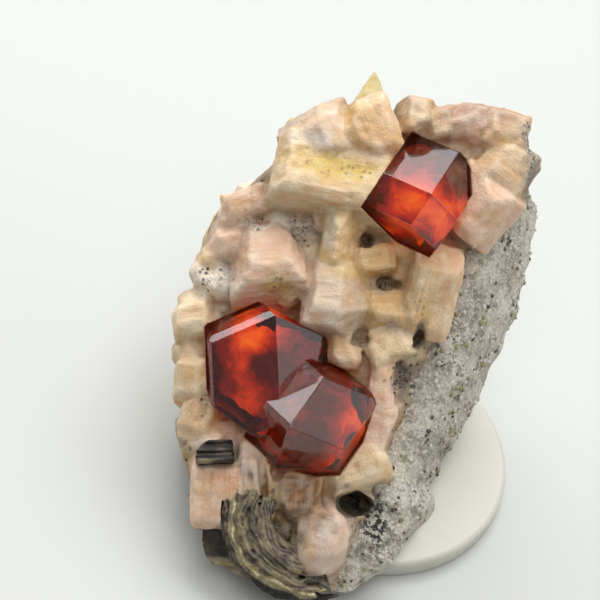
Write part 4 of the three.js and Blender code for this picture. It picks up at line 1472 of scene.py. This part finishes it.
print("bare share of the rock:", round(float((mark_bare(rock) > 0.5).mean()), 2))

# %% [markdown]
# Three kinds of grain differ in colour, number, size and how much they keep together.

# %% Grains on the rock
def plain_mineral(name, base, second, rough):
    made, tree, shader = material(name, Roughness=rough, IOR=1.55)
    masks = mottled(tree, 0.8, 0.2, 0.5, 0.1)
    body = layered(tree, base, [(masks["Clouds"], second)])
    dryness = between(tree, masks["Grain"], 0, 1, rough - 0.15, rough + 0.15)
    feed(tree, shader, Base_Color=body, Roughness=dryness)
    roughen(tree, shader, masks["Grain"], 0.4, 0.00006)
    return made


dark_grain = plain_mineral("dark_grain", colour(48, 46, 42), colour(84, 78, 66), 0.45)
olive_grain = plain_mineral("olive_grain", colour(128, 120, 84), colour(160, 150, 112), 0.6)
pale_grain = plain_mineral("pale_grain", colour(208, 203, 194), colour(184, 178, 168), 0.6)

grain_pieces = []
for name, look, per_mm, smallest, largest, patchiness, seed in (
    ("rock_grains_dark", dark_grain, 1.1, 0.08, 0.28, 0.57, 4),
    ("rock_grains_olive", olive_grain, 0.8, 0.12, 0.34, 0.54, 9),
    ("rock_grains_pale", pale_grain, 0.9, 0.12, 0.34, 0.34, 15),
):
    grains_piece = shown(name, rock.data.copy())
    run_tree(
        grains_piece, scatter, Per_square_mm=per_mm, Smallest=smallest, Largest=largest,
        Patchiness=patchiness, Seed=seed, Material=look,
    )
    grain_pieces.append(grains_piece)
    print(name, len(grains_piece.data.polygons), "faces")

# %% [markdown]
# Mica grows as a book of thin leaves. The bent book at the lower end is built by a tree. In its first
# half, every leaf is an arc round one centre line, a little wider than the one inside it, and is
# trimmed to its own length by chance.

# %% A tree that bends a book of leaves
ARC_STEPS = 40
book_numbers = {
    "Leaves": 20,
    "Inner radius": 3.0,
    "Leaf pitch": 0.2,
    "Leaf thickness": 0.19,
    "Depth": 6.0,
    "From": 0.0,
    "Sweep": math.pi,
    "Wobble": 1.0,
    "Arch": 0.5,
    "Tear": 0.3,
    "Seed": 1,
}
book, ask = geometry_tree("bent_book", book_numbers)
leaf_number = add(book, "GeometryNodeInputIndex").outputs[0]
radius = plus(book, ask["Inner radius"], times(book, leaf_number, ask["Leaf pitch"]))
starts = add(book, "GeometryNodePoints", {"Count": ask["Leaves"]}).outputs[0]
arc_inputs = {"Resolution": ARC_STEPS, "Radius": 1.0, "Start Angle": ask["From"], "Sweep Angle": ask["Sweep"]}
arc = add(book, "GeometryNodeCurveArc", arc_inputs).outputs[0]
wide = add(book, "ShaderNodeCombineXYZ", {0: radius, 1: radius, 2: 1.0}).outputs[0]
leaves = add(book, "GeometryNodeInstanceOnPoints", {"Points": starts, "Instance": arc, "Scale": wide})
arcs = add(book, "GeometryNodeRealizeInstances", {0: leaves.outputs[0]}).outputs[0]

outer_half = calc(book, "GREATER_THAN", leaf_number, times(book, ask["Leaves"], 0.5))
short_start = plus(book, by_chance(book, 0.0, 0.08, ask["Seed"]), times(book, outer_half, 0.055))
short_end = by_chance(book, 0.82, 1.0, plus(book, ask["Seed"], 1))
short_end = minus(book, short_end, times(book, minus(book, 1.0, outer_half), 0.1))
trimmed = add(book, "GeometryNodeTrimCurve", {"Curve": arcs}, mode="FACTOR")
for socket in trimmed.inputs:
    if socket.enabled and socket.name == "Start":
        book.links.new(short_start, socket)
    if socket.enabled and socket.name == "End":
        book.links.new(short_end, socket)

print("the tree has", len(book.nodes), "nodes so far")

# %% [markdown]
# The second half of the tree bends the trimmed arcs with smooth noise, steps each leaf forwards or
# back, arches the middle leaves out and tears their edges. Then it gives the leaves thickness and
# depth.

# %% Wobble, steps and depth of the leaves
leaf_place = add(book, "GeometryNodeInputPosition").outputs[0]
bends = add(book, "ShaderNodeTexNoise", {"Vector": leaf_place, "Scale": 0.26, "Detail": 1.5}).outputs[1]
sway = add(book, "ShaderNodeVectorMath", {0: bends, 1: (0.5, 0.5, 0.5)}, operation="SUBTRACT").outputs[0]
sway = add(book, "ShaderNodeVectorMath", {0: sway, "Scale": ask["Wobble"]}, operation="SCALE").outputs[0]
share = calc(book, "DIVIDE", leaf_number, ask["Leaves"])
arch = calc(book, "POWER", times(book, times(book, share, minus(book, 1.0, share)), 4.0), 0.5)
step_out = by_chance(book, -0.3, 0.3, plus(book, ask["Seed"], 2))
step_out = plus(book, step_out, times(book, arch, ask["Arch"]))
own_step = add(book, "GeometryNodeFieldOnDomain", {0: step_out}, domain="CURVE", data_type="FLOAT").outputs[0]
torn_edge = centred(book, noise(book, leaf_place, 0.8, 3.0, 0.6), ask["Tear"])
lift = add(book, "ShaderNodeCombineXYZ", {2: plus(book, own_step, torn_edge)}).outputs[0]
drift = add(book, "ShaderNodeVectorMath", {0: sway, 1: lift}, operation="ADD").outputs[0]
swayed = add(book, "GeometryNodeSetPosition", {"Geometry": trimmed.outputs[0], "Offset": drift}).outputs[0]

profile = {"Width": ask["Leaf thickness"], "Height": ask["Depth"]}
strip = add(book, "GeometryNodeCurvePrimitiveQuadrilateral", profile, mode="RECTANGLE").outputs[0]
upright = add(book, "GeometryNodeSetCurveNormal", {"Curve": swayed}, mode="Z_UP").outputs[0]
sheet_inputs = {"Curve": upright, "Profile Curve": strip, "Fill Caps": True}
close_tree(book, add(book, "GeometryNodeCurveToMesh", sheet_inputs).outputs[0], ask["Material"])

# %% [markdown]
# Where mica isn't bent, its leaves are thin boxes in a stack. This helper makes one: each leaf is a
# little off from the next, and towards one end of the stack they get shorter, as torn leaves do.

# %% A stack of straight leaves
LEAF_WEAR = 0.04


def leaf_stack(leaves, size, at, turn, seed):
    stack = bmesh.new()
    for i in range(leaves):
        up = (i + 0.5) / leaves
        leaf = bmesh.new()
        bmesh.ops.create_cube(leaf, size=1)
        length = size[0] * (1 - 0.38 * up**3) * (0.92 + 0.08 * chance(seed, i))
        front = size[2] * (0.9 + 0.1 * chance(seed + 1, i) - 0.16 * up**2)
        scale = Matrix.Diagonal((length, size[1] / leaves * 0.94, front, 1))
        across = 0.12 * (chance(seed + 2, i) - 0.5) + 0.5 * up**3
        shift = Matrix.Translation((across, (up - 0.5) * size[1], (front - size[2]) / 2))
        bmesh.ops.transform(leaf, matrix=shift @ scale, verts=leaf.verts[:])
        worn = {"offset": LEAF_WEAR, "segments": 1, "clamp_overlap": True}
        bmesh.ops.bevel(leaf, geom=leaf.edges[:], affect="EDGES", **worn)
        loose = mesh_of(leaf, "leaf")
        stack.from_mesh(loose)
        bpy.data.meshes.remove(loose)
    place = Matrix.Translation(at) @ Matrix(turned(turn)).to_4x4()
    bmesh.ops.transform(stack, matrix=place, verts=stack.verts[:])
    return stack


print("leaf edges are worn by", LEAF_WEAR, "mm")

# %% [markdown]
# Mica is dark olive inside and shines softly on its leaves. Here and there a leaf edge is pale yellow
# where it has started to weather, so the colour runs from dark to pale with a number that each leaf
# has.

# %% Mica material
MICA_SHADES = [
    (0.0, colour(24, 21, 15)),
    (0.2, colour(58, 50, 38)),
    (0.36, colour(98, 86, 76)),
    (0.5, colour(128, 119, 96)),
    (0.75, colour(158, 146, 100)),
    (0.88, colour(206, 192, 150)),
    (1.0, colour(226, 220, 190)),
]

mica_olive, mica_tree, mica_shader = material("mica", Roughness=0.5, IOR=1.6, Specular_IOR_Level=0.3)
mica_marks = mottled(mica_tree, 1.4, 0.16, 0.5, 0.1)
leaf_clouds = between(mica_tree, mica_marks["Clouds"], 0.0, 1.0, -0.14, 0.14)
leaf_colour = ramp(mica_tree, plus(mica_tree, own_value(mica_tree, "leaf")["Fac"], leaf_clouds), MICA_SHADES)
mica_dirt = between(mica_tree, mica_marks["Grain"], 0.45, 0.2, 0.0, 0.5)
mica_body = layered(mica_tree, leaf_colour, [(mica_dirt, colour(50, 46, 38))])
mica_rough = between(mica_tree, mica_marks["Grain"], 0, 1, 0.4, 0.7)
feed(mica_tree, mica_shader, Base_Color=mica_body, Roughness=mica_rough)
roughen(mica_tree, mica_shader, mica_marks["Grain"], 0.5, 0.00006)
print("mica has", len(mica_tree.nodes), "nodes")

# %% [markdown]
# The bent book is made of the tree's leaves and of a short straight stack that sticks out on its
# left. Melting makes one piece of them, on which the leaves still show as fine steps.

# %% The bent book
FAN_LEAVES = 24
FAN_INNER = 3.3
FAN_BACK = -6.2
FAN_FRONT = 0.3
STUB_LEAVES = 17
STUB_SIZE = (3.8, 3.3, 5.4)
STUB_AT = (-7.1, -22.5, -3.5)
STUB_TURN = (-4, 0, 176)
STUB_SEED = 40
MICA_VOXEL = 0.11

mica_fan = shown("mica_fan_leaves", bpy.data.meshes.new("mica_fan"))
run_tree(
    mica_fan, book, Leaves=FAN_LEAVES, Inner_radius=FAN_INNER, Leaf_pitch=0.195, Leaf_thickness=0.19,
    Depth=FAN_FRONT - FAN_BACK, From=math.radians(154), Sweep=math.radians(132),
    Wobble=1.2, Arch=0.7, Tear=0.3, Seed=3, Material=mica_olive,
)
mica_fan.data.transform(Matrix.Translation((*FAN_CENTRE, (FAN_FRONT + FAN_BACK) / 2)))
stub = leaf_stack(STUB_LEAVES, STUB_SIZE, STUB_AT, STUB_TURN, STUB_SEED)
stub.from_mesh(mica_fan.data)
mica_fan.data = mesh_of(stub, "mica_fan")
melt(mica_fan, MICA_VOXEL)
combined(mica_fan, under_base, "DIFFERENCE", "MANIFOLD")
print("bent book:", len(mica_fan.data.polygons), "faces")

# %% [markdown]
# Its leaves are told how pale they are. That follows the distance from the centre line, from one leaf
# to the next and over broader bands, and the outer leaves are darker on their lower side as painted
# shade. The straight stack is dark with a greenish lower edge.

# %% Tints of the bent book
BAND_RADII = (3.3, 4.4, 5.0, 5.8, 6.4, 6.7, 7.0, 7.3, 8.1)
BAND_TINTS = (0.44, 0.52, 0.4, 0.52, 0.44, 0.8, 0.66, 0.34, 0.3)
TINT_PITCH = 0.39
SHADED_TURN = 222
SHADED_RADIUS = 7.0
STUB_GREEN_BELOW = -23.0


def fan_tints(points):
    """0 is the darkest leaf and 1 the palest, by distance from the centre line and turn round it."""
    dx, dy = points[:, 0] - FAN_CENTRE[0], points[:, 1] - FAN_CENTRE[1]
    radius = np.hypot(dx, dy) + 0.22 * ripple(points, 1.1, 5.2)
    turn = np.degrees(np.arctan2(dy, dx)) % 360
    tint = np.interp(radius, BAND_RADII, BAND_TINTS)
    tint += 0.12 * np.sin(radius * 2 * math.pi / TINT_PITCH) + 0.1 * ripple(points, 0.5, 3.3)
    # The outer leaves' lower side is painted darker: painted shade.
    low = np.clip((turn - SHADED_TURN) / 14, 0, 1) * np.clip((radius - SHADED_RADIUS) / 0.3, 0, 1)
    on_stub = np.clip((np.hypot(dx, dy) - FAN_OUTER) / 0.15, 0, 1)
    stub_tint = np.interp(points[:, 1], (STUB_GREEN_BELOW - 0.4, STUB_GREEN_BELOW), (0.62, 0.12))
    stub_tint += 0.08 * ripple(points, 0.5, 6.6)
    return np.clip((tint - 0.4 * low) * (1 - on_stub) + stub_tint * on_stub, 0, 1)


tints = fan_tints(points_of(mica_fan.data))
give(mica_fan.data, "leaf", tints)
give(mica_fan.data, "coarse", np.full(len(tints), 0.7))
run_tree(
    mica_fan, relief, Swell=0.05, Swell_size=1.0, Grain=0.07, Grain_size=0.4,
    Pits=0.2, Pit_size=0.8, Material=mica_olive,
)
print("darkest and palest leaf:", round(float(tints.min()), 2), round(float(tints.max()), 2))

# %% [markdown]
# The small book at the left edge is straight, so it is a stack alone. It is dark with finely paler
# leaves and one pale streak near its lower edge, which is a painted highlight.

# %% Straight mica book
BOOK_LEAVES = 15
BOOK_SIZE = (3.5, 2.1, 4.4)
BOOK_AT = (-7.7, -13.9, -1.4)
BOOK_TURN = (2, 0, -12)
BOOK_SEED = 5
GLINT_AT = (-8.5, -14.5)
GLINT_SIZE = (1.0, 0.25)

book_shell = leaf_stack(BOOK_LEAVES, BOOK_SIZE, BOOK_AT, BOOK_TURN, BOOK_SEED)
mica_book = shown("mica_book_leaves", mesh_of(book_shell, "mica_book"))
melt(mica_book, MICA_VOXEL)
book_points = points_of(mica_book.data)
from_glint = np.hypot(*((book_points[:, :2] - GLINT_AT) / GLINT_SIZE).T)
book_tint = 0.08 + 0.1 * np.sin(book_points[:, 1] * 2 * math.pi / 0.45) + 0.08 * ripple(book_points, 0.6, 6.1)
# The pale streak is a painted highlight on the book.
give(mica_book.data, "leaf", np.clip(book_tint + 0.75 * np.exp(-from_glint * from_glint), 0, 1))
give(mica_book.data, "coarse", np.full(len(book_points), 0.5))
run_tree(mica_book, relief, Swell=0.05, Swell_size=1.2, Grain=0.04, Grain_size=0.4, Material=mica_olive)
print("straight book:", len(mica_book.data.polygons), "faces")

# %% [markdown]
# The small yellow crystal on the upper edge is a narrow wedge, half clear, so it keeps some
# transmission under its yellow colour. Its root goes down into the crust.

# %% Yellow crystal
TIP_APEX = (6.9, 21.2, -4.4)
TIP_BASE = [(4.9, 18.3, -3.2), (7.8, 18.4, -2.9), (8.2, 18.0, -5.2), (5.2, 17.9, -5.8)]
TIP_ROOT = 2.4
TIP_VOXEL = 0.12

tip_root = [(x, y - TIP_ROOT, z) for x, y, z in TIP_BASE]
tip = melted("yellow_wedge", [hull_of([TIP_APEX, *TIP_BASE, *tip_root])], TIP_VOXEL)
half_clear = {"IOR": 1.54, "Transmission_Weight": 0.25}
yellow, yellow_tree, yellow_shader = material("yellow_crystal", Roughness=0.4, **half_clear)
yellow_marks = mottled(yellow_tree, 1.2, 0.2, 0.5, 0.1)
yellow_body = layered(yellow_tree, colour(214, 190, 118), [(yellow_marks["Clouds"], colour(226, 208, 152))])
feed(yellow_tree, yellow_shader, Base_Color=yellow_body)
roughen(yellow_tree, yellow_shader, yellow_marks["Grain"], 0.4, 0.00008)
run_tree(tip, relief, Swell=0.08, Swell_size=1.6, Grain=0.02, Grain_size=0.5, Material=yellow)
print("yellow wedge:", len(tip.data.polygons), "faces")

# %% [markdown]
# The disc is turned like a coin on a lathe: one outline swept round the upright axis. Its rims are
# rounded, and its cream colour lets a little light in.

# %% Display disc
DISC_RADIUS = 12.8
RIM_ROUND = 0.5
RIM_STEPS = 6
DISC_STEPS = 180
SHARP_FROM = 40


def rim_curve(middle, first):
    """A quarter of a round, first degrees being where it starts."""
    angles = [math.radians(first + 90 * i / RIM_STEPS) for i in range(RIM_STEPS + 1)]
    middle_out = DISC_RADIUS - RIM_ROUND
    return [(middle_out + RIM_ROUND * math.cos(a), middle + RIM_ROUND * math.sin(a)) for a in angles]


outline = [(0.0, 0.0), *rim_curve(RIM_ROUND, -90), *rim_curve(DISC_THICKNESS - RIM_ROUND, 0)]
outline.append((0.0, DISC_THICKNESS))
disc_shell = bmesh.new()
corners = [disc_shell.verts.new((out, 0, up)) for out, up in outline]
lines_round = [disc_shell.edges.new(pair) for pair in zip(corners, corners[1:])]
sweep = {"cent": (0, 0, 0), "axis": (0, 0, 1), "angle": 2 * math.pi, "steps": DISC_STEPS, "use_merge": True}
bmesh.ops.spin(disc_shell, geom=corners + lines_round, **sweep)
bmesh.ops.remove_doubles(disc_shell, verts=disc_shell.verts[:], dist=1e-4)
bmesh.ops.recalc_face_normals(disc_shell, faces=disc_shell.faces[:])
disc = shown("disc_milky", mesh_of(disc_shell, "disc"))
disc.data.transform(metres)
disc.data.shade_smooth()
disc.data.set_sharp_from_angle(angle=math.radians(SHARP_FROM))
print("disc:", len(disc.data.polygons), "faces")

# %% [markdown]
# Light that enters the disc's milky body comes out some millimetres further, a little further for
# red than for blue. The distances are in metres.

# %% Disc material
LIGHT_REACH = (0.004, 0.0035, 0.003)

milky, milky_tree, milky_shader = material(
    "milky_disc", Roughness=0.35, IOR=1.49,
    Subsurface_Weight=0.35, Subsurface_Radius=LIGHT_REACH, Subsurface_Scale=1.0,
)
milky_marks = mottled(milky_tree, 8.0, 0.5, 1.5, 0.05)
milky_body = layered(milky_tree, colour(192, 190, 178), [(milky_marks["Clouds"], colour(200, 198, 186))])
milky_rough = between(milky_tree, milky_marks["Grain"], 0, 1, 0.3, 0.42)
feed(milky_tree, milky_shader, Base_Color=milky_body, Roughness=milky_rough)
disc.data.materials.append(milky)
print("milky disc has", len(milky_tree.nodes), "nodes")

# %% [markdown]
# Now every stone piece goes from its flat frame to its place on the disc, and what only cut others is
# taken away. Garnets, hearts and grains keep flat faces, and the worn skins are shaded smooth.

# %% Pieces in place
for cutter in [*sockets, under_base, behind_crust, beside_crust, *fan_rooms, cavity]:
    bpy.data.objects.remove(cutter)
for piece in (garnet_upper, garnet_pair):
    wear_only(piece, garnet_red)
for piece in (garnet_upper, garnet_pair, *hearts, crust, rock, *grain_pieces, mica_fan, mica_book, tip):
    piece.data.transform(stone_to_row)
for piece in (crust, rock, mica_fan, mica_book, tip):
    piece.data.shade_smooth()
print("every piece is in place")

# %% [markdown]
# Each piece is hung on the root body, and the solid from the model that it stands for is hidden.
# Hearts and grains stand for no solid and are only hung on the root body.

# %% Bodies and solids
for piece, node, slot in (
    (garnet_upper, "garnet_upper", "garnet"),
    (garnet_pair, "garnet_pair", "garnet"),
    (crust, "feldspar_crystals", "feldspar"),
    (rock, "rock_matrix", "rock"),
    (mica_book, "mica_book_left", "mica"),
    (mica_fan, "mica_fan_front", "mica"),
    (tip, "yellow_crystal", "yellow_crystal"),
    (disc, "display_disc", "disc"),
):
    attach(piece, "root")
    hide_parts(node)
for pieces, slot in ((grain_pieces, "rock"), (hearts, "garnet")):
    for piece in pieces:
        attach(piece, "root")
print("hearts and grains:", len(hearts) + len(grain_pieces))

# %% [markdown]
# The floor is plain and pale, and belongs to the stage, not to the object.

# %% Floor
FLOOR_HALF = 1.5

floor_shell = bmesh.new()
bmesh.ops.create_grid(floor_shell, x_segments=1, y_segments=1, size=FLOOR_HALF)
floor = shown("floor", mesh_of(floor_shell, "floor"))
floor.data.materials.append(material("pale_floor", Base_Color=colour(198, 200, 196), Roughness=0.6)[0])
print("floor:", 2 * FLOOR_HALF, "m wide")

# %% [markdown]
# Five soft panels light the stone. The widest is high up behind it, one is high up in front, two
# stand low behind it, where the garnets' upper faces mirror them towards the camera, and a weak one
# on the right lifts the shade. Each is given by its direction, its distance and size in metres, and
# its brightness.

# %% Light
LOOKED_AT = Vector((0, 0, 0.018))


def panel(name, azimuth, height, distance, size, glow):
    light = bpy.data.lights.new(name, "AREA")
    light.shape = "RECTANGLE"
    light.size, light.size_y = size
    light.energy = glow * size[0] * size[1] * math.pi
    lamp = bpy.data.objects.new(name, light)
    bpy.context.scene.collection.objects.link(lamp)
    turn, lift = math.radians(azimuth), math.radians(height)
    way = Vector((math.cos(lift) * math.cos(turn), math.cos(lift) * math.sin(turn), math.sin(lift)))
    aim = (-way).to_track_quat("-Z", "Y").to_matrix().to_4x4()
    lamp.matrix_world = Matrix.Translation(LOOKED_AT + way * distance) @ aim


panel("top_panel", 84, 60, 0.6, (0.55, 0.40), 4.6)
panel("front_panel", -80, 72, 0.6, (0.45, 0.35), 2.4)
panel("back_left_panel", 146, 24, 0.5, (0.34, 0.28), 3.4)
panel("back_panel", 104, 21, 0.5, (0.26, 0.28), 2.3)
panel("right_panel", 8, 30, 0.5, (0.50, 0.40), 0.9)
print("five panels")

# %% [markdown]
# An even pale surround fills the shade. The plain view transform keeps colours as they were chosen
# from the screen.

# %% Surround
SURROUND_COLOUR = (0.95, 0.97, 1.0, 1)
SURROUND_STRENGTH = 0.26

world = bpy.data.worlds.new("surround")
world.use_nodes = True
backdrop = world.node_tree.nodes["Background"]
backdrop.inputs["Color"].default_value = SURROUND_COLOUR
backdrop.inputs["Strength"].default_value = SURROUND_STRENGTH
bpy.context.scene.world = world
bpy.context.scene.view_settings.view_transform = "Standard"
print("surround strength", SURROUND_STRENGTH)
